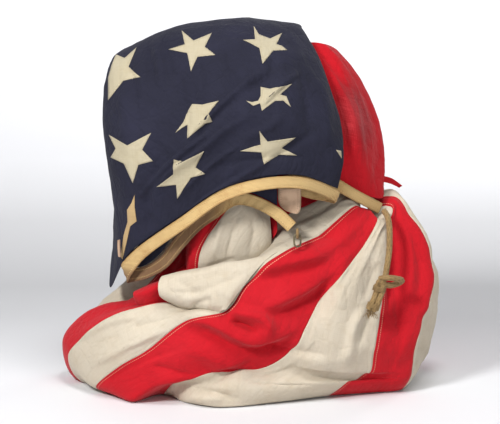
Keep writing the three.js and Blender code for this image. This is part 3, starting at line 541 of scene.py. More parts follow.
class Sheet:
    """One piece of cloth, made of one or more fine grids."""

    def __init__(self, name):
        self.name = name
        self.mesh = bmesh.new()
        self.threads = self.mesh.verts.layers.float_vector.new("threads")
        self.from_seam = self.mesh.verts.layers.float.new("from_seam")
        # a mark per point: 1 on the heading's inner run, which gets painted shade, and on star points already
        # laid
        self.kind = self.mesh.verts.layers.float.new("kind")

    def lay(self, guides, v=None, across=30, along=120, seams=(True, True), creases=(), outside=None,
            floor=None, swell=None, kind=None):
        """Lays a grid on the surface through the guides, or from one guide of v to the other, and creases it.

        seams says which of its two long edges are sewn, outside is a point that its back faces, swell adds to
        the creases, and kind gives the mark of a point from its distance along the cloth.
        """
        made = sorted_grid(self.mesh, across, along)
        v_low, v_high = v or (0, len(guides) - 1)
        shape = (along + 1, across + 1)
        vs = np.broadcast_to(np.linspace(v_low, v_high, across + 1), shape)
        ss = np.broadcast_to(np.linspace(0, len(guides[0]) - 1, along + 1)[:, None], shape)
        points = surface(guides, ss, vs)
        step = 0.03   # of a guide's spacing, for the slopes
        ds = surface(guides, np.minimum(ss + step, len(guides[0]) - 1), vs) \
            - surface(guides, np.maximum(ss - step, 0), vs)
        dv = surface(guides, ss, np.minimum(vs + step, len(guides) - 1)) \
            - surface(guides, ss, np.maximum(vs - step, 0))
        normals = np.cross(ds, dv)
        normals /= np.maximum(np.linalg.norm(normals, axis=-1, keepdims=True), 1e-9)
        outward = points - np.array(outside) if outside is not None else -np.ones(points.shape) * view_axes()[1]
        if np.sum(normals * outward) < 0:
            normals = -normals
        u = np.concatenate([np.zeros((shape[0], 1)),
                            np.cumsum(np.linalg.norm(np.diff(points, axis=1), axis=-1), axis=1)], axis=1)
        w = np.concatenate([np.zeros((1, shape[1])),
                            np.cumsum(np.linalg.norm(np.diff(points, axis=0), axis=-1), axis=0)], axis=0)
        if floor is not None:
            points[..., 2] = np.maximum(points[..., 2], floor)
        moved = crease_depths(points, normals, creases)
        if swell is not None:
            moved = moved + swell(points, normals, ss, vs, u, w)
        points = points + normals * moved[..., None]
        if floor is not None:
            points[..., 2] = np.maximum(points[..., 2], floor)
        edge = np.minimum(u if seams[0] else 1.0, (u[:, -1:] - u) if seams[1] else 1.0) * np.ones(shape)
        for vert, p, a, b, c in zip(made, points.reshape(-1, 3), u.ravel(), w.ravel(), edge.ravel()):
            vert.co = p
            vert[self.threads] = (a, b, 0)
            vert[self.from_seam] = c
            vert[self.kind] = kind(b) if kind else 0.0

    def finish(self, material, thick):
        """Makes the object: threads become its UV map, and the sheet gets its thickness."""
        uv = self.mesh.loops.layers.uv.new("threads")
        for face in self.mesh.faces:
            face.smooth = True
            for loop in face.loops:
                loop[uv].uv = loop.vert[self.threads][:2]
        return place_piece(self.name, self.mesh, material, thick)


def put_in_scene(name, mesh, material):
    """Makes an object of a bmesh and frees it."""
    data = bpy.data.meshes.new(name)
    mesh.to_mesh(data)
    mesh.free()
    data.materials.append(material)
    made = bpy.data.objects.new(name, data)
    bpy.context.scene.collection.objects.link(made)
    return made


def place_piece(name, mesh, material, thick=None):
    """Puts a bmesh into the scene as a piece that rides on the object's only body."""
    piece = put_in_scene(name, mesh, material)
    if thick:
        wall = piece.modifiers.new("cloth thickness", "SOLIDIFY")
        wall.thickness, wall.offset, wall.use_even_offset = thick, 0.0, False
    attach(piece, "root")
    return piece


# ---------------------------------------------------------------- shader sums
class Value:
    """A shader value: sums on it add their Math nodes."""

    def __init__(self, shader, link):
        self.shader, self.link = shader, link

    def math(self, operation, *others):
        return self.shader.node("ShaderNodeMath", {"operation": operation}, dict(enumerate((self, *others))))

    def __add__(self, other):
        return self.math("ADD", other)

    def __sub__(self, other):
        return self.math("SUBTRACT", other)

    def __mul__(self, other):
        return self.math("MULTIPLY", other)

    def __truediv__(self, other):
        return self.math("DIVIDE", other)

    def __rsub__(self, other):
        return self.shader.node("ShaderNodeMath", {"operation": "SUBTRACT"}, {0: other, 1: self})

    __radd__ = __add__

    def clamp(self):
        return self.shader.node("ShaderNodeClamp", {}, {0: self})

    def between(self, low, high):
        """0 below low, 1 above high, smooth between."""
        return self.shader.node("ShaderNodeMapRange", {"interpolation_type": "SMOOTHSTEP"},
                                {0: self, 1: low, 2: high})

    def near(self, middle, half):
        """1 where the value is close to middle, 0 further off than half."""
        return (1 - (self - middle).math("ABSOLUTE") / half).clamp()


class Shader:
    """One material and the nodes in it."""

    def __init__(self, name):
        self.material = bpy.data.materials.new(name)
        self.material.use_nodes = True
        self.tree = self.material.node_tree
        self.tree.nodes.clear()

    def node(self, kind, settings=None, inputs=None, out=0):
        """One node: its settings first, then the values or links of its sockets."""
        made = self.tree.nodes.new(kind)
        for name, value in (settings or {}).items():
            if name == "stops":
                while len(made.color_ramp.elements) < len(value):
                    made.color_ramp.elements.new(1.0)
                for element, (position, colour) in zip(made.color_ramp.elements, value):
                    element.position, element.color = position, (*colour, 1)
            else:
                setattr(made, name, value)
        for name, value in (inputs or {}).items():
            if isinstance(value, Value):
                self.tree.links.new(value.link, made.inputs[name])
            else:
                made.inputs[name].default_value = value
        return Value(self, made.outputs[out])

    def threads(self, across=1.0, along=1.0):
        """Places on the cloth, across and along its threads, stretched by the two numbers."""
        uv = self.node("ShaderNodeUVMap", {"uv_map": "threads"})
        return self.node("ShaderNodeMapping", {}, {"Vector": uv, "Scale": (across, along, 1)})

    def across_and_along(self):
        """The distances across and along the cloth, in metres."""
        uv = self.node("ShaderNodeUVMap", {"uv_map": "threads"})
        return [self.node("ShaderNodeSeparateXYZ", {}, {0: uv}, k) for k in (0, 1)]

    def space(self):
        return self.node("ShaderNodeTexCoord", {}, {}, "Object")

    def attribute(self, name):
        return self.node("ShaderNodeAttribute", {"attribute_name": name}, {}, "Fac")

    def noise(self, place, scale, detail=3.0, roughness=0.55):
        return self.node("ShaderNodeTexNoise", {}, {"Vector": place, "Scale": scale, "Detail": detail,
                                                     "Roughness": roughness})

    def blend(self, factor, first, second):
        """A mix of two colours, each a tuple or a link."""
        first, second = ((*c, 1) if isinstance(c, tuple) and len(c) == 3 else c for c in (first, second))
        return self.node("ShaderNodeMix", {"data_type": "RGBA"}, {0: factor, 6: first, 7: second}, 2)

    def bump(self, height, strength, distance, after=None):
        """Bumps of a height, on top of those of another bump node if there is one."""
        inputs = {"Height": height, "Strength": strength, "Distance": distance}
        if after is not None:
            inputs["Normal"] = after
        return self.node("ShaderNodeBump", {}, inputs)

    def close(self, constants, **linked):
        """The surface shader and the output; constants are set on its own sockets."""
        shader = self.tree.nodes.new("ShaderNodeBsdfPrincipled")
        for name, value in constants.items():
            shader.inputs[name].default_value = value
        for name, value in linked.items():
            socket = shader.inputs[name.replace("_", " ")]
            if isinstance(value, Value):
                self.tree.links.new(value.link, socket)
            else:
                socket.default_value = value
        out = self.tree.nodes.new("ShaderNodeOutputMaterial")
        self.tree.links.new(shader.outputs[0], out.inputs[0])
        return self.material


def weave(shader, pitch):
    """Height of an open plain weave, and the two sets of its threads as streaks."""
    across, along = shader.across_and_along()
    turn = 2 * math.pi / pitch
    over = (across * turn).math("SINE") * (along * turn).math("SINE")
    warp = shader.noise(shader.threads(1.0, 0.04), 900.0, 2.0)
    weft = shader.noise(shader.threads(0.04, 1.0), 900.0, 2.0)
    return over, warp, weft


def bunting(name, colour, worn, soil, stitch=None, worn_at=None, spots=0.0, sheen=0.08, wrinkled=0.24):
    """Wool bunting: an open weave with slubs, uneven fading and soiling, and a row of stitches by its seams.

    worn_at is the middle and the reach of a thin, darker place, and spots the strength of small dark specks.
    """
    shader = Shader(name)
    over, warp, weft = weave(shader, looks().weave_pitch)
    place = shader.space()
    fading = shader.noise(place, 9.0, 4.0, 0.6).between(0.42, 0.72)
    blotches = shader.noise(place, 22.0, 5.0, 0.65).between(0.52, 0.78)
    base = shader.blend(fading * 0.5, colour, worn)
    base = shader.blend(blotches * 0.35, base, soil)
    slub = (warp * 0.5 + weft * 0.5).between(0.35, 0.68)
    base = shader.blend(0.22, base, shader.blend(slub, shade(colour, 0.72), worn))
    if spots:
        stain = shader.noise(place, 60.0, 2.0, 0.5).between(0.72, 0.78)
        base = shader.blend(stain * spots, base, shade(soil, 0.35))
    if worn_at:
        centre, reach = worn_at
        apart = shader.node("ShaderNodeVectorMath", {"operation": "DISTANCE"}, {0: place, 1: centre}, "Value")
        thin = (1 - apart / reach).clamp()
        base = shader.blend(thin.between(0.1, 0.7) * 0.7, base, shade(soil, 0.7))
        bare = (warp * 0.6 + weft * 0.6 + thin * 0.35).between(0.72, 1.0) * thin.between(0.0, 0.6)
        base = shader.blend(bare * 0.3, base, tuple(min(1, c * 1.3 + 0.07) for c in worn))
    height = over * 0.22 + slub * 0.5
    if stitch:
        from_seam = shader.attribute("from_seam")
        along = shader.across_and_along()[1]
        dash = (along * (2 * math.pi / looks().stitch_length)).math("SINE").between(-0.6, 0.1)
        row = from_seam.near(STITCH_ROW, 0.0009).between(0.05, 0.7) * dash
        hem = 1 - from_seam.between(0.0045, 0.0058)
        base = shader.blend(hem * 0.2, base, shade(colour, 0.7))
        base = shader.blend(row * 0.6, base, stitch)
        height = height + hem * 1.4 - from_seam.near(STITCH_ROW, 0.0022) * 0.8 + row * 0.7
    rough = 0.86 + (slub - 0.5) * 0.1
    drag = shader.noise(shader.threads(1.0, 0.4), 46.0, 2.0, 0.45)
    handled = shader.noise(place, 34.0, 2.0, 0.45)
    creased = (drag - 0.5).math("ABSOLUTE").between(0.0, 0.09) \
        + (handled - 0.5).math("ABSOLUTE").between(0.0, 0.07)
    wrinkles = shader.bump(creased, wrinkled, 0.0016)
    base = shader.blend((1 - creased * 0.5) * 0.1, base, soil)
    normal = shader.bump(height, 0.35, 0.0006, after=wrinkles)
    return shader.close({"Specular IOR Level": 0.18, "Sheen Weight": sheen, "Sheen Roughness": 0.5},
                        Base_Color=base, Roughness=rough, Normal=normal)


def canvas(name, colour, dark):
    """Canvas tape: coarse threads, two rows of stitches, soiled edges, and painted shade in dark brown where
    its mark is 1.
    """
    shader = Shader(name)
    over, warp, weft = weave(shader, looks().weave_pitch * 1.3)
    along = shader.across_and_along()[1]
    place = shader.space()
    soil = shader.noise(place, 30.0, 5.0, 0.65).between(0.45, 0.75)
    smears = shader.noise(shader.threads(0.6, 0.2), 160.0, 3.0, 0.6).between(0.55, 0.8)
    edge = shader.attribute("from_seam")
    base = shader.blend(soil * 0.75, colour, dark)
    base = shader.blend(smears * 0.3, base, shade(dark, 0.45))
    base = shader.blend((1 - edge.between(0.0, 0.0038)) * 0.65, base, shade(dark, 0.7))
    # painted shade: where the mark is 1, on the heading's inner run inside the hood, the canvas is painted dark
    # brown
    base = shader.blend(shader.attribute("kind") * 0.85, base, srgb(104, 74, 56))
    dash = (along * (2 * math.pi / looks().stitch_length)).math("SINE").between(-0.5, 0.2)
    row = edge.near(TAPE_ROW, 0.0009).between(0.05, 0.7)
    base = shader.blend(row * dash * 0.6, base, shade(colour, 1.25))
    base = shader.blend(row * (1 - dash) * 0.55, base, shade(dark, 0.5))
    height = over * 0.3 + (warp + weft) * 0.5 - row * 1.2 + smears * 0.3
    return shader.close({"Specular IOR Level": 0.2, "Sheen Weight": 0.08},
                        Base_Color=base, Roughness=0.88, Normal=shader.bump(height, 0.5, 0.0007))


def hemp(name, colour, dark):
    """Old braided line: grey-brown fibres, with painted shade between the strands."""
    shader = Shader(name)
    place = shader.space()
    groove = shader.attribute("from_seam")
    fibres = shader.noise(place, 1400.0, 3.0)
    grime = shader.noise(place, 60.0, 4.0).between(0.4, 0.7)
    base = shader.blend(grime * 0.5, colour, dark)
    # painted shade: darker in the grooves between the strands
    base = shader.blend((1 - groove) * 0.5, base, shade(dark, 0.5))
    base = shader.blend(fibres.between(0.5, 0.7) * 0.35, base, shade(colour, 1.5))
    return shader.close({"Specular IOR Level": 0.2, "Sheen Weight": 0.1},
                        Base_Color=base, Roughness=0.9, Normal=shader.bump(fibres, 0.6, 0.0006))


def old_brass(name, colour):
    """Tarnished brass: dull brown film with brighter rubbed places."""
    shader = Shader(name)
    place = shader.space()
    film = shader.noise(place, 90.0, 5.0, 0.65).between(0.35, 0.65)
    base = shader.blend(film, colour, shade(colour, 0.3))
    return shader.close({"Specular IOR Level": 0.5}, Base_Color=base, Metallic=1 - film * 0.35,
                        Roughness=film * 0.35 + 0.28,
                        Normal=shader.bump(shader.noise(place, 400.0), 0.25, 0.0003))


def paper_sweep(name, colour):
    """The pale paper that the bundle stands on, with a band of painted shade behind it."""
    shader = Shader(name)
    back = shader.node("ShaderNodeSeparateXYZ", {}, {0: shader.space()}, 1) / 6.0
    # painted shade: greyest about 0.7 to 1.4 m behind the bundle, pale again towards the wall
    stops = [(gone, shade(colour, share))
             for gone, share in ((0.0, 0.88), (0.12, 0.55), (0.24, 0.6), (0.4, 0.85), (0.6, 1.0))]
    base = shader.node("ShaderNodeValToRGB", {"stops": stops}, {0: back})
    return shader.close({"Specular IOR Level": 0.2}, Base_Color=base, Roughness=0.7)


# ---------------------------------------------------------------- settings of the sidebar
def length_setting(name, description, usual, low, high):
    return bpy.props.FloatProperty(name=name, description=description, default=usual, min=low, max=high,
                                   unit="LENGTH")


def colour_setting(name, description, *usual):
    return bpy.props.FloatVectorProperty(name=name, description=description, default=srgb(*usual), size=3,
                                         min=0, max=1, subtype="COLOR")


class EnsignLooks(bpy.types.PropertyGroup):
    """Sizes and colours that may be changed."""

    cloth_thick: length_setting("Cloth thickness", "Thickness of the wool bunting", 0.0009, 0.0003, 0.002)
    canvas_thick: length_setting("Heading thickness", "Thickness of the folded canvas tape", 0.0019, 0.0008,
                                 0.004)
    rope_wide: length_setting("Rope diameter", "Diameter of the braided line", 0.0095, 0.004, 0.016)
    stripe_wide: length_setting("Stripe width", "Finished width of one stripe", 0.088, 0.05, 0.15)
    stitch_length: length_setting("Stitch length", "Length of one stitch and the gap after it", 0.0036, 0.002,
                                  0.008)
    weave_pitch: length_setting("Weave pitch", "Distance between two threads of the bunting", 0.0009, 0.0004,
                                0.002)
    navy: colour_setting("Navy", "Colour of the canton", 31, 31, 45)
    red: colour_setting("Red", "Colour of the red stripes", 184, 14, 28)
    white: colour_setting("White", "Colour of the white stripes", 196, 184, 164)
    cream: colour_setting("Cream", "Colour of the stars", 177, 166, 140)
    tape: colour_setting("Canvas", "Colour of the heading", 202, 171, 118)
    line: colour_setting("Line", "Colour of the rope", 146, 120, 80)


def looks():
    """The settings as they stand."""
    return bpy.context.scene.ensign_looks


def declare(node):
    """Hides the frame's part that a sheet stands for."""
    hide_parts(node)


# ---------------------------------------------------------------- the stage
class ENSIGN_OT_stage(bpy.types.Operator):
    """Sets the paper sweep, the lights and the camera"""

    bl_idname = "ensign.stage"
    bl_label = "Stage"

    def execute(self, context):
        scene = context.scene
        eye, ahead, _ = view_axes()
        camera = bpy.data.objects.new("camera", bpy.data.cameras.new("camera"))
        camera.data.lens, camera.data.sensor_width = LENS, SENSOR
        camera.data.clip_start, camera.data.clip_end = 0.1, 40
        camera.location = Vector(eye)
        camera.rotation_euler = Vector(ahead).to_track_quat("-Z", "Y").to_euler()
        scene.collection.objects.link(camera)
        scene.camera = camera
        scene.view_settings.view_transform = "Standard"
        self.sweep()
        for name, (at, towards, wide, power) in LAMPS.items():
            self.lamp(scene, name, at, towards, wide, power)
        world = bpy.data.worlds.new("studio air")
        world.use_nodes = True
        air = world.node_tree.nodes["Background"]
        air.inputs["Color"].default_value, air.inputs["Strength"].default_value = AIR_COLOUR, AIR_STRENGTH
        scene.world = world
        return {"FINISHED"}

    def sweep(self):
        """Floor, round cove and wall in one sheet."""
        mesh = bmesh.new()
        made = bmesh.ops.create_grid(mesh, x_segments=8, y_segments=60, size=0.5)["verts"]
        flat, arc = PAPER_BACK - PAPER_FRONT, COVE_RADIUS * math.pi / 2
        total = flat + arc + PAPER_HIGH - COVE_RADIUS
        for vert in made:
            gone = (vert.co.y + 0.5) * total
            x = vert.co.x * PAPER_WIDE
            if gone <= flat:
                vert.co = (x, PAPER_FRONT + gone, 0)
            elif gone <= flat + arc:
                turn = (gone - flat) / COVE_RADIUS
                vert.co = (x, PAPER_BACK + COVE_RADIUS * math.sin(turn), COVE_RADIUS * (1 - math.cos(turn)))
            else:
                vert.co = (x, PAPER_BACK + COVE_RADIUS, COVE_RADIUS + gone - flat - arc)
        for face in mesh.faces:
            face.smooth = True
        put_in_scene("paper_sweep", mesh, paper_sweep("sweep paper", srgb(236, 236, 238)))

    def lamp(self, scene, name, at, towards, wide, power):
        """A soft round lamp."""
        light = bpy.data.lights.new(name, "AREA")
        light.shape, light.size, light.energy = "DISK", wide, power
        lamp = bpy.data.objects.new(name, light)
        lamp.location = at
        lamp.rotation_euler = (Vector(towards) - Vector(at)).to_track_quat("-Z", "Y").to_euler()
        scene.collection.objects.link(lamp)


# ---------------------------------------------------------------- rope
def row_frame(points):
    """Places among the guides, in metres in the object's own frame."""
    return (np.array(points, float) - MIDDLE) * MILLI


def line_of_rope(mesh, groove, route, wide, count=None):
    """A braided tube along a route, closed at both ends, with its strands standing out of it."""
    around, row_length, rounded_rows = 28, 0.0009, 3
    length = np.sum(np.linalg.norm(np.diff(curve_through(route, 60), axis=0), axis=1))
    rows = count or max(20, int(length / row_length))
    centre = curve_through(route, rows + 1)
    ahead = np.gradient(centre, axis=0)
    ahead /= np.linalg.norm(ahead, axis=1, keepdims=True)
    side = np.cross(ahead[0], [0.3, 0.8, 0.5])
    made = sorted_grid(mesh, around, rows)
    for i in range(rows + 1):
        side = side - ahead[i] * (side @ ahead[i])
        side /= np.linalg.norm(side)
        other = np.cross(ahead[i], side)
        twist = 2 * math.pi * length * i / rows / ROPE_PITCH
        thick = wide / 2
        from_end = min(i, rows - i)
        if from_end < rounded_rows:
            thick *= min(1.0, math.sqrt(max(0.0, 1 - (1 - from_end / rounded_rows) ** 2)) + 0.05)
        for j in range(around + 1):
            turn = 2 * math.pi * j / around
            over = max(math.sin(ROPE_STRANDS * turn + twist), math.sin(ROPE_STRANDS * turn - twist))
            reach = thick * (0.95 + 0.07 * over)
            vert = made[i * (around + 1) + j]
            vert.co = centre[i] + side * reach * math.cos(turn) + other * reach * math.sin(turn)
            vert[groove] = min(1.0, max(0.0, 0.5 + 0.55 * over))
    ends = [made[0:around + 1], made[-(around + 1):]]
    bmesh.ops.remove_doubles(mesh, verts=made, dist=1e-5)
    for rim in ends:
        bmesh.ops.contextual_create(mesh, geom=[p for p in rim if p.is_valid])
    return centre


def rope_mesh():
    """An empty mesh and its layer for the grooves between the strands, where the line's colour paints shade."""
    mesh = bmesh.new()
    return mesh, mesh.verts.layers.float.new("from_seam")


def smooth_all(mesh):
    """Turns all faces outwards and shades them smoothly."""
    bmesh.ops.recalc_face_normals(mesh, faces=mesh.faces)
    for face in mesh.faces:
        face.smooth = True


class ENSIGN_OT_rope(bpy.types.Operator):
    """Hangs the rope tail, with its hitch and its whipped, frayed end"""

    bl_idname = "ensign.rope"
    bl_label = "Rope tail"

    def execute(self, context):
        line = hemp("old line", tuple(looks().line), srgb(112, 88, 56))
        wide = looks().rope_wide
        mesh, groove = rope_mesh()
        centre = line_of_rope(mesh, groove, row_frame(ROPE_ROUTE), wide)
        smooth_all(mesh)
        tail = place_piece("rope_tail", mesh, line)
        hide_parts("tail_rope")

        mesh, groove = rope_mesh()
        for path in HITCH_ROUTES:
            line_of_rope(mesh, groove, row_frame(path), wide * 0.97)
        self.whipping(mesh, groove)
        self.fray(mesh, groove)
        smooth_all(mesh)
        hitch = place_piece("rope_knot", mesh, line)
        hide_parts("rope_hitch")
        return {"FINISHED"}

    def whipping(self, mesh, groove):
        """Thin twine wound round the two stubs."""
        wide, deep, wound = 0.0098, 0.0066, 26   # half sizes of the windings, and all their turns in radians
        for low, high in (((203, -150, 186), (201, -150, 178)), ((194, -155, 160), (191, -156, 152))):
            ends = row_frame([low, high])
            axis = (ends[1] - ends[0]) / np.linalg.norm(ends[1] - ends[0])
            side = np.cross(axis, [0, 1, 0])
            side /= np.linalg.norm(side)
            other = np.cross(axis, side)
            turns = [ends[0] + (ends[1] - ends[0]) * t + side * wide * math.cos(t * wound)
                     + other * deep * math.sin(t * wound) for t in np.linspace(0, 1, 60)]
            line_of_rope(mesh, groove, turns, 0.0018, count=160)

    def fray(self, mesh, groove):
        """Loose yarns at the cut ends: many at the lower one, and a few short ones at the upper one."""
        rng = random.Random(11)
        for _ in range(46):
            root = np.array([rng.uniform(181, 196), rng.uniform(-161, -153), rng.uniform(144, 152)])
            aim = np.array([rng.uniform(-9, 9), rng.uniform(-4, 3), rng.uniform(-11, -3)])
            bend = np.array([rng.uniform(-3, 3), rng.uniform(-2, 2), rng.uniform(-3, 3)])
            self.yarn(mesh, groove, row_frame([root, root + aim * 0.5 + bend, root + aim]), 0.0006)
        for _ in range(12):
            root = np.array([rng.uniform(198, 206), rng.uniform(-154, -148), rng.uniform(180, 192)])
            aim = np.array([rng.uniform(-9, 4), rng.uniform(-5, 0), rng.uniform(-8, 8)])
            self.yarn(mesh, groove, row_frame([root, root + aim * 0.6, root + aim]), 0.0005)

    def yarn(self, mesh, groove, route, thick):
        """One loose yarn, thinner towards its end."""
        sides, rows = 4, 5
        centre = curve_through(route, rows + 1)
        made = sorted_grid(mesh, sides, rows)
        for i in range(rows + 1):
            for j in range(sides + 1):
                turn = 2 * math.pi * j / sides
                vert = made[i * (sides + 1) + j]
                vert.co = centre[i] + thick * (1 - 0.12 * i) * np.array([math.cos(turn), math.sin(turn), 0])
                vert[groove] = 0.9
        bmesh.ops.remove_doubles(mesh, verts=made, dist=1e-6)


# ---------------------------------------------------------------- canton
def hood_swell(points, normals, s, v, u, w):
    """Uneven handling creases of the hood, stronger away from the front."""
    back = smoothstep(-0.2, 0.5, normals @ view_axes()[1])
    edge = smoothstep(0.0, 0.8, s) * (0.4 + 0.6 * smoothstep(0.0, 1.0, s.max() - s))
    hang = np.zeros(u.shape)
    for frequency, slant, phase, weight in waves(31, 6, 5, 15):
        hang += weight * gathered(2 * math.pi * frequency * (u + 0.25 * slant * w) + phase)
    moved = edge * (crumple(points, 32) * HOOD_CRUMPLE + back * hang * HOOD_FOLD)
    return np.where(back > 0.3, np.maximum(moved, HOOD_INWARD), moved)


class ENSIGN_OT_canton(bpy.types.Operator):
    """Lays the navy canton over the top as a hood, with its stars"""

    bl_idname = "ensign.canton"
    bl_label = "Canton and stars"

    def execute(self, context):
        navy = bunting("navy bunting", tuple(looks().navy), srgb(44, 44, 62), srgb(25, 25, 34), sheen=0.03,
                       wrinkled=0.32)
        cream = bunting("cream bunting", tuple(looks().cream), srgb(185, 176, 153), srgb(156, 138, 100),
                        stitch=srgb(180, 168, 138))
        sheet = Sheet("canton_hood")
        sheet.lay(HOOD, across=165, along=170, seams=(False, False), creases=HOOD_CREASES,
                  outside=(-0.04, 0.0, 0.36), swell=hood_swell)
        sheet.lay(HOOD_LINING, across=110, along=36, seams=(False, False))
        tree = BVHTree.FromBMesh(sheet.mesh)
        canton = sheet.finish(navy, looks().cloth_thick)

        stars = Sheet("canton_stars")
        for outline in FRONT_STARS + EDGE_TIPS:
            self.star(stars, tree, outline)
        for side, across, up in OTHER_STARS:
            self.star(stars, tree, self.plain_star(side, across, up), side)
        stars = stars.finish(cream, STAR_THICK)
        # painted light: the star that turns round the left fold gets a tan copy of the cream cloth
        light_tinted_star = Sheet("canton_fold_star")
        self.star(light_tinted_star, tree, FOLD_STAR)
        light_tinted_star = light_tinted_star.finish(bunting("fold star bunting tinted as painted light", srgb(182, 152, 106), srgb(196, 170, 128),
                                     srgb(136, 104, 66)), STAR_THICK)
        declare("canton")
        return {"FINISHED"}

    def plain_star(self, side, across, up):
        """An even five-pointed star, turned a little, as each was sewn by hand."""
        lean = random.Random(f"{side}{across}{up}").uniform(0, 2 * math.pi)
        return [(across + r * math.sin(lean + k * math.pi / 5), up + r * math.cos(lean + k * math.pi / 5))
                for k, r in enumerate([STAR_REACH, STAR_REACH * 0.4] * 5)]

    def star(self, sheet, tree, outline, side="front"):
        """Lays a star on the hood: its outline is set out on a board and carried straight onto the cloth."""
        corners = np.array(outline, float)
        rim = bmesh.ops.create_circle(sheet.mesh, segments=len(outline), radius=1)["verts"]
        rim.sort(key=lambda p: math.atan2(p.co.y, p.co.x))
        for vert, corner in zip(rim, corners[::-1]):
            vert.co = (*corner, 0)
        bmesh.ops.triangle_fill(sheet.mesh, use_beauty=True, edges=list({e for p in rim for e in p.link_edges}))
        edges = {e for p in rim for e in p.link_edges}
        bmesh.ops.subdivide_edges(sheet.mesh, edges=list(edges), cuts=7, use_grid_fill=True)
        depth = STAR_FALLBACK
        for vert in sheet.mesh.verts:
            if vert[sheet.kind] == LAID:
                continue
            flat = np.array(vert.co[:2])
            hem = min(self.apart(flat, corners[k - 1], corners[k]) for k in range(len(corners)))
            start, way = self.ray(side, flat)
            hit, normal, _, far = tree.ray_cast(Vector(start), Vector(way))
            if hit is None:
                hit, normal, _, _ = tree.find_nearest(Vector(start + way * depth))
            else:
                depth = far
            if normal.dot(Vector(way)) > 0:
                normal = -normal
            vert.co = hit + normal * STAR_PROUD
            vert[sheet.threads] = (flat[0] * MILLI, flat[1] * MILLI, 0)
            vert[sheet.from_seam] = hem * MILLI + STAR_TURN_IN
            vert[sheet.kind] = LAID

    def ray(self, side, flat):
        """Where the ray through a place on a side's board starts, and its direction."""
        if side == "front":
            return from_board(*flat)
        x, y = flat * MILLI
        return {"back": (np.array([x, 1.0, y]), np.array([0, -1.0, 0])),
                "left": (np.array([-1.0, x, y]), np.array([1.0, 0, 0])),
                "top": (np.array([x, y, 1.5]), np.array([0, 0, -1.0]))}[side]

    def apart(self, point, first, last):
        """The distance of a point from the straight edge between two others."""
        run = last - first
        t = min(1, max(0, float((point - first) @ run / (run @ run))))
        return float(np.linalg.norm(point - first - t * run))


# ---------------------------------------------------------------- stripes
def red_swell(points, normals, s, v, u, w):
    """Folds of the red stripe that rise from the pinch and open out over the top."""
    envelope = smoothstep(0.0, 1.4, s) * smoothstep(0.0, 1.2, s.max() - s) * smoothstep(0.0, 0.8, v)
    folds = np.zeros(v.shape)
    for frequency, slant, phase, weight in waves(47, 6, 0.35, 1.3):
        sway = 0.35 * slant * s + 0.15 * np.sin(1.1 * s + phase)
        folds += weight * gathered(2 * math.pi * frequency * (v + sway) + phase)
    return envelope * (folds * RED_FOLD - RED_SINK + crumple(points, 48) * RED_CRUMPLE)


def fan_swell(points, normals, s, v, u, w):
    """Folds that run out from the pinch; shallow at the front, where the creases are listed."""
    front = smoothstep(2.2, 3.4, v) * smoothstep(14.2, 12.8, v)
    envelope = smoothstep(0.2, 2.0, s) * smoothstep(9.0, 6.8, s)
    radial = np.zeros(v.shape)
    for frequency, slant, phase, weight in waves(21, 7, 0.5, 1.7):
        sway = 0.2 * slant * s + 0.12 * np.sin(1.3 * s + phase)
        radial += weight * gathered(2 * math.pi * frequency * (v + sway) + phase)
    fold, small = (back_height * (1 - front) + front_height * front
                   for back_height, front_height in (FAN_FOLD, FAN_CRUMPLE))
    moved = envelope * (radial * fold + crumple(points, 22) * small)
    covered = smoothstep(0.17, 0.21, points[..., 2]) * (1 - front)
    return np.where(moved > 0, moved * (1 - covered), moved)


def crumple(points, seed):
    """Small creases in every direction, from about 15 to 80 mm apart, sharper on their crests."""
    x, y, z = (points[..., k] for k in range(3))
    rng = random.Random(seed)
    total = np.zeros(x.shape)
    for _ in range(14):
        pace = rng.uniform(12, 60)
        aim = [rng.gauss(0, 1) for _ in range(3)]
        size = math.sqrt(sum(c * c for c in aim))
        phase, sway = rng.uniform(0, 6.28), rng.uniform(6, 14)
        place = (aim[0] * x + aim[1] * y + aim[2] * z) / size
        bend = 0.012 * np.sin(sway * (x + z) + phase) + 0.012 * np.sin(sway * (y - z) + 2 * phase)
        patch = 0.5 + 0.5 * np.sin(11 * x + 7 * z + 3 * phase) * np.sin(9 * y - 8 * z + phase)
        total += (1 - 2 * np.abs(np.sin(math.pi * pace * (place + bend) + phase))) * patch * (20 / pace) ** 0.6
    return total / 4


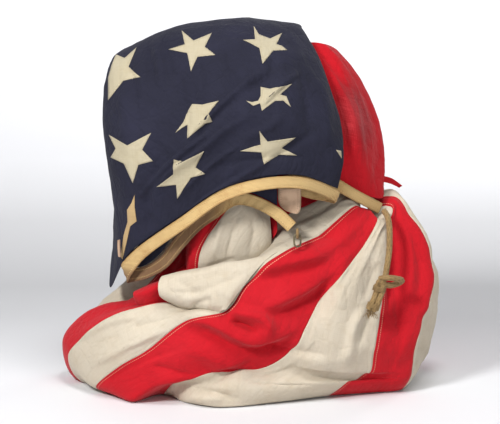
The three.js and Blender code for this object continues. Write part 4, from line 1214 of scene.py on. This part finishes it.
class ENSIGN_OT_stripes(bpy.types.Operator):
    """Lays the thirteen stripes, fanned from the pinch and turned under the bundle"""

    bl_idname = "ensign.stripes"
    bl_label = "Stripes"

    def execute(self, context):
        thread = srgb(236, 190, 160)
        red = bunting("red bunting", tuple(looks().red), srgb(196, 28, 40), srgb(132, 8, 20), stitch=thread)
        worn = bunting("worn red bunting", srgb(180, 12, 26), srgb(192, 22, 35), srgb(134, 6, 18), sheen=0.04,
                       stitch=thread, worn_at=WORN_PLACE)
        white = bunting("white bunting", tuple(looks().white), srgb(207, 197, 180), srgb(176, 154, 120),
                        spots=0.25)
        names = list(FAN)
        fan = list(FAN.values())
        floor = looks().cloth_thick / 2 + GROUND_GAP
        for number in sorted(STRIPE_LENGTHS, reverse=True):
            first = f"seam {number}-{number + 1}" if number < 13 else "free 13"
            last = f"seam {number - 1}-{number}" if number > 1 else "free 1"
            low, high = names.index(first), names.index(last)
            is_red = number % 2 == 1
            name = f"stripe_{number:02d}_{'red' if is_red else 'white'}"
            sheet = Sheet(f"cloth_{name}")
            sheet.lay(fan, v=(low, high), across=40 if high - low > 1 else 30, along=230,
                      seams=(False, number > 1), creases=FAN_CREASES,
                      outside=(0, 0, 0.12), floor=floor, swell=fan_swell)
            if number == 13:
                sheet.lay(RED_HOOD, across=140, along=110, seams=(False, False), outside=(0.1, 0.0, 0.4),
                          swell=red_swell)
                sheet.lay(RED_TIP, across=6, along=20, seams=(False, False))
            if number == 8:
                sheet.lay(ROLL, across=70, along=40, seams=(False, False), creases=ROLL_CREASES)
                sheet.lay(PUFF, v=(1.5, 5), across=60, along=60, seams=(False, False), creases=PUFF_CREASES)
            if number == 7:
                sheet.lay(RED_ROLL, across=36, along=30, seams=(False, True), creases=ROLL_CREASES)
                sheet.lay(PUFF, v=(0, 1.5), across=12, along=60, seams=(False, True), creases=PUFF_CREASES)
                sheet.lay(DARK_EDGE, across=16, along=20, seams=(False, False))
            piece = sheet.finish(worn if number == 13 else red if is_red else white, looks().cloth_thick)
            declare(name)
        return {"FINISHED"}


# ---------------------------------------------------------------- heading and tabs
def tape_pucker(points, normals, s, v, u, w):
    """Small puckers of the tape, deeper at its lower edge."""
    ripple = np.sin(2 * math.pi * w / PUCKER_LENGTH + 1.3 * np.sin(w * 37))
    uneven = 0.35 + 0.65 * np.abs(np.sin(w * 23))
    return ripple * uneven * (PUCKER_TOP + PUCKER_MORE * v)


class ENSIGN_OT_heading(bpy.types.Operator):
    """Sews the canvas heading round the hoist edge"""

    bl_idname = "ensign.heading"
    bl_label = "Canvas heading"

    def execute(self, context):
        tape = canvas("heading canvas", tuple(looks().tape), srgb(170, 128, 76))
        edges = [[pair[k] for pair in HEADING] for k in (0, 1)]
        sheet = Sheet("heading_tape")
        # the mark is 1 on the inner run, from 0.10 to 0.36 m along the tape, which the canvas paints with shade
        sheet.lay(edges, across=10, along=620, swell=tape_pucker,
                  kind=lambda gone: float(smoothstep(0.10, 0.16, gone) * smoothstep(0.36, 0.33, gone)))
        heading = sheet.finish(tape, looks().canvas_thick)
        declare("heading")
        return {"FINISHED"}


class ENSIGN_OT_tabs(bpy.types.Operator):
    """Sews the two cloth tabs"""

    bl_idname = "ensign.tabs"
    bl_label = "Tabs"

    def execute(self, context):
        tan = canvas("tan cotton", srgb(206, 174, 146), srgb(156, 122, 96))
        for name, node, guides, flat in (("tab_cloth", "tab", TAB, TAB_FLAT),
                                         ("small_tab_cloth", "small_tab", SMALL_TAB, SMALL_TAB_FLAT)):
            sheet = Sheet(name)
            sheet.lay(guides, across=24, along=30)
            piece = sheet.finish(tan, TAB_THICK)
            declare(node)
        return {"FINISHED"}


# ---------------------------------------------------------------- ring
class ENSIGN_OT_ring(bpy.types.Operator):
    """Fits the metal ring in its rope eye"""

    bl_idname = "ensign.ring"
    bl_label = "Ring and eye"

    def execute(self, context):
        ring = self.link("brass_ring", RING_AT, RING_SIZE, False, old_brass("old brass", srgb(150, 140, 112)))
        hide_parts("ring")
        eye = self.link("rope_eye", EYE_AT, EYE_SIZE, True,
                        hemp("eye cord", srgb(150, 122, 82), srgb(92, 70, 44)))
        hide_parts("eye")
        return {"FINISHED"}

    def link(self, name, at, size, turned, material):
        """A link of round wire: a ring whose halves are drawn apart along Z."""
        wide, tall, wire = size
        mesh, groove = rope_mesh()
        section = bmesh.ops.create_circle(mesh, segments=24, radius=wire / 2)["verts"]
        bmesh.ops.translate(mesh, verts=section, vec=((wide - wire) / 2, 0, 0))
        bmesh.ops.spin(mesh, geom=mesh.verts[:] + mesh.edges[:], cent=(0, 0, 0), axis=(0, 1, 0),
                       angle=2 * math.pi, steps=72, use_merge=True, use_normal_flip=False)
        for vert in mesh.verts:
            vert.co.z += math.copysign((tall - wide) / 2, vert.co.z) * min(1, abs(vert.co.z) / 2)
            # painted strands for the eye cord: its colour paints shade in these grooves, which the smooth wire
            # does not have
            vert[groove] = 0.5 + 0.5 * math.sin(14 * math.atan2(vert.co.z, vert.co.x) + 3 * vert.co.y)
        if turned:
            bmesh.ops.rotate(mesh, verts=mesh.verts, cent=(0, 0, 0),
                             matrix=Matrix.Rotation(math.pi / 2, 3, "Z"))
        bmesh.ops.scale(mesh, verts=mesh.verts, vec=(MILLI, MILLI, MILLI))
        bmesh.ops.translate(mesh, verts=mesh.verts, vec=row_frame(at))
        smooth_all(mesh)
        return place_piece(name, mesh, material)


class ENSIGN_PT_sidebar(bpy.types.Panel):
    """Settings and steps of the ensign"""

    bl_label = "Ensign"
    bl_idname = "ENSIGN_PT_sidebar"
    bl_space_type = "VIEW_3D"
    bl_region_type = "UI"
    bl_category = "Ensign"

    def draw(self, context):
        for name in EnsignLooks.__annotations__:
            self.layout.prop(context.scene.ensign_looks, name)
        for step in STEPS:
            self.layout.operator(step.bl_idname)


STEPS = (ENSIGN_OT_stage, ENSIGN_OT_rope, ENSIGN_OT_canton, ENSIGN_OT_stripes, ENSIGN_OT_heading,
         ENSIGN_OT_tabs, ENSIGN_OT_ring)
CLASSES = (EnsignLooks, *STEPS, ENSIGN_PT_sidebar)


def register():
    for each in CLASSES:
        bpy.utils.register_class(each)
    bpy.types.Scene.ensign_looks = bpy.props.PointerProperty(type=EnsignLooks)


def unregister():
    del bpy.types.Scene.ensign_looks
    for each in reversed(CLASSES):
        bpy.utils.unregister_class(each)


def main():
    register()
    for step in STEPS:
        group, name = step.bl_idname.split(".")
        getattr(getattr(bpy.ops, group), name)()


if __name__ == "__main__":
    main()
